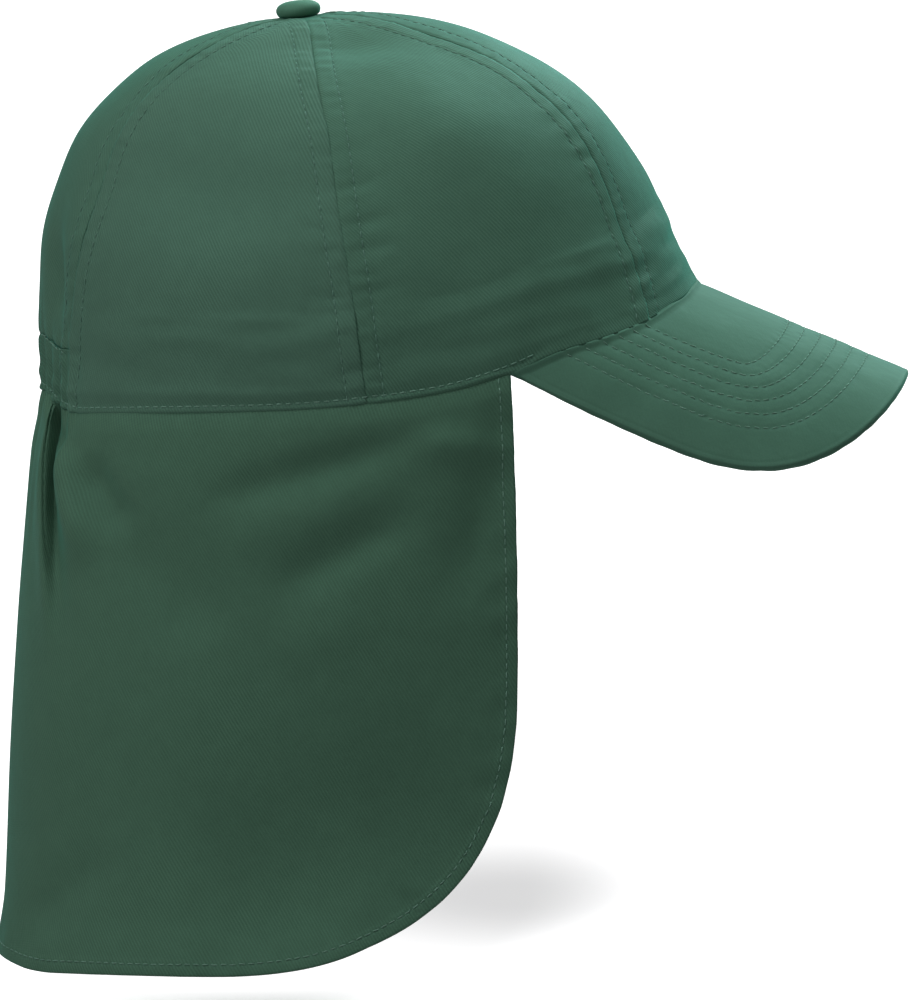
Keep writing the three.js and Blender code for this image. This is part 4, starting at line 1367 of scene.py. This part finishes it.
def floor_material():
    """White paper that throws little light back up at the cap. Seen by the camera it glows with painted
    light, more the further it is from an oval where the cap's sun-cast shadow falls, so that shadow shows
    only inside this painted shadow oval.
    """
    material = bpy.data.materials.new("floor_paper_painted_light")
    n = Nodes(material)
    seen = n.add("ShaderNodeLightPath").outputs["Is Camera Ray"]
    colour = n.blend(seen, (FLOOR_BOUNCE, FLOOR_BOUNCE, FLOOR_BOUNCE, 1), FLOOR_WHITE)
    n.shade(Base_Color=colour, Roughness=0.9, Specular_IOR_Level=0.0)
    place = n.add("ShaderNodeTexCoord").outputs["Object"]
    middle = n.add("ShaderNodeVectorMath", {0: place, 1: PAINTED_SHADOW_PLACE}, operation="SUBTRACT").outputs[0]
    scaled = n.add("ShaderNodeVectorMath", {0: middle, 1: PAINTED_SHADOW_SIZE}, operation="DIVIDE").outputs[0]
    away = n.add("ShaderNodeVectorMath", {0: scaled}, operation="LENGTH").outputs["Value"]
    limits = {0: away, 1: PAINTED_LIGHT_START, 2: 1.0}
    share = n.add("ShaderNodeMapRange", limits, interpolation_type="SMOOTHSTEP")
    # Painted light: a glow for the camera alone that hides the cap's shadow outside the oval
    painted_light = n.math("MULTIPLY", n.math("MULTIPLY", share.outputs[0], FLOOR_PAINTED_LIGHT), seen)
    n.shade(Emission_Color=(1, 1, 1, 1), Emission_Strength=painted_light)
    return material


def build_floor():
    mesh = bpy.data.meshes.new("floor")
    corners = ((-1, -1), (1, -1), (1, 1), (-1, 1))
    mesh.from_pydata([(x * FLOOR_SIZE, y * FLOOR_SIZE, FLOOR_LEVEL) for x, y in corners], [], [(0, 1, 2, 3)])
    mesh.materials.append(floor_material())
    floor = link(bpy.data.objects.new("floor", mesh))
    return floor


def add_light(name, kind, power, way, floor, on_floor):
    """A light that points one way and lights the floor alone, or all but the floor."""
    data = bpy.data.lights.new(name, kind)
    data.energy = power
    light = link(bpy.data.objects.new(name, data))
    light.rotation_euler = way.to_track_quat("-Z", "Y").to_euler()
    receivers = bpy.data.collections.new(name + "_lights")
    receivers.objects.link(floor)
    receivers.collection_objects[0].light_linking.link_state = "INCLUDE" if on_floor else "EXCLUDE"
    light.light_linking.receiver_collection = receivers
    return light


def area_light(name, place, target, size, power, colour, floor):
    light = add_light(name, "AREA", power, Vector(target) - Vector(place), floor, False)
    light.location = place
    light.data.shape = "RECTANGLE"
    light.data.size, light.data.size_y = size
    light.data.color = colour


def floor_sun(name, azimuth, elevation, strength, softness, floor):
    """A sun that lights the floor alone, and that the cap shades."""
    turn, tilt = math.radians(azimuth), math.radians(elevation)
    way = Vector((math.sin(turn) * math.cos(tilt), math.cos(turn) * math.cos(tilt), -math.sin(tilt)))
    sun = add_light(name, "SUN", strength, way, floor, True)
    sun.data.angle = math.radians(softness)


def build_world():
    """Seen as white, it lights the cap from above more than from below."""
    world = bpy.data.worlds.new("studio")
    bpy.context.scene.world = world
    world.use_nodes = True
    n = Nodes.__new__(Nodes)
    n.tree = world.node_tree
    place = n.add("ShaderNodeTexCoord").outputs["Generated"]
    height = n.add("ShaderNodeSeparateXYZ", {0: place}).outputs["Z"]
    ramp = n.add("ShaderNodeValToRGB", {"Fac": n.math("MULTIPLY_ADD", height, 0.5, 0.5)})
    low, high = ramp.color_ramp.elements
    low.position, high.position = SKY_LEVELS
    low.color = (SKY_LOW, SKY_LOW, SKY_LOW, 1)
    high.color = (SKY_TOP, SKY_TOP, SKY_TOP, 1)
    seen = n.add("ShaderNodeLightPath").outputs["Is Camera Ray"]
    colour = n.blend(seen, ramp.outputs["Color"], (1, 1, 1, 1))
    n.feed(world.node_tree.nodes["Background"].inputs["Color"], colour)


build_world()
floor = build_floor()
for panel in PANELS:
    area_light(*panel, floor)
for sun in SUNS:
    floor_sun(*sun, floor)


def build_camera():
    """Seen from the wearer's right, with the origin at its pixel in the picture."""
    data = bpy.data.cameras.new("camera")
    camera = link(bpy.data.objects.new("camera", data))
    tilt = math.radians(ELEVATION)
    right = Vector((1, 0, 0))
    up = Vector((0, math.sin(tilt), math.cos(tilt)))
    back = Vector((0, -math.cos(tilt), math.sin(tilt)))
    across = (IMAGE[0] / 2 - ORIGIN_PIXEL[0]) * PIXEL_SIZE * MM
    down = (ORIGIN_PIXEL[1] - IMAGE[1] / 2) * PIXEL_SIZE * MM
    aim = right * across + up * down
    camera.location = aim + back * DISTANCE
    camera.rotation_euler = (math.radians(90 - ELEVATION), 0, 0)
    data.sensor_fit = "VERTICAL"
    data.sensor_height = SENSOR
    data.lens = SENSOR * DISTANCE / (IMAGE[1] * PIXEL_SIZE * MM)
    data.clip_end = 100
    bpy.context.scene.camera = camera


build_camera()
bpy.context.scene.view_settings.view_transform = "Standard"
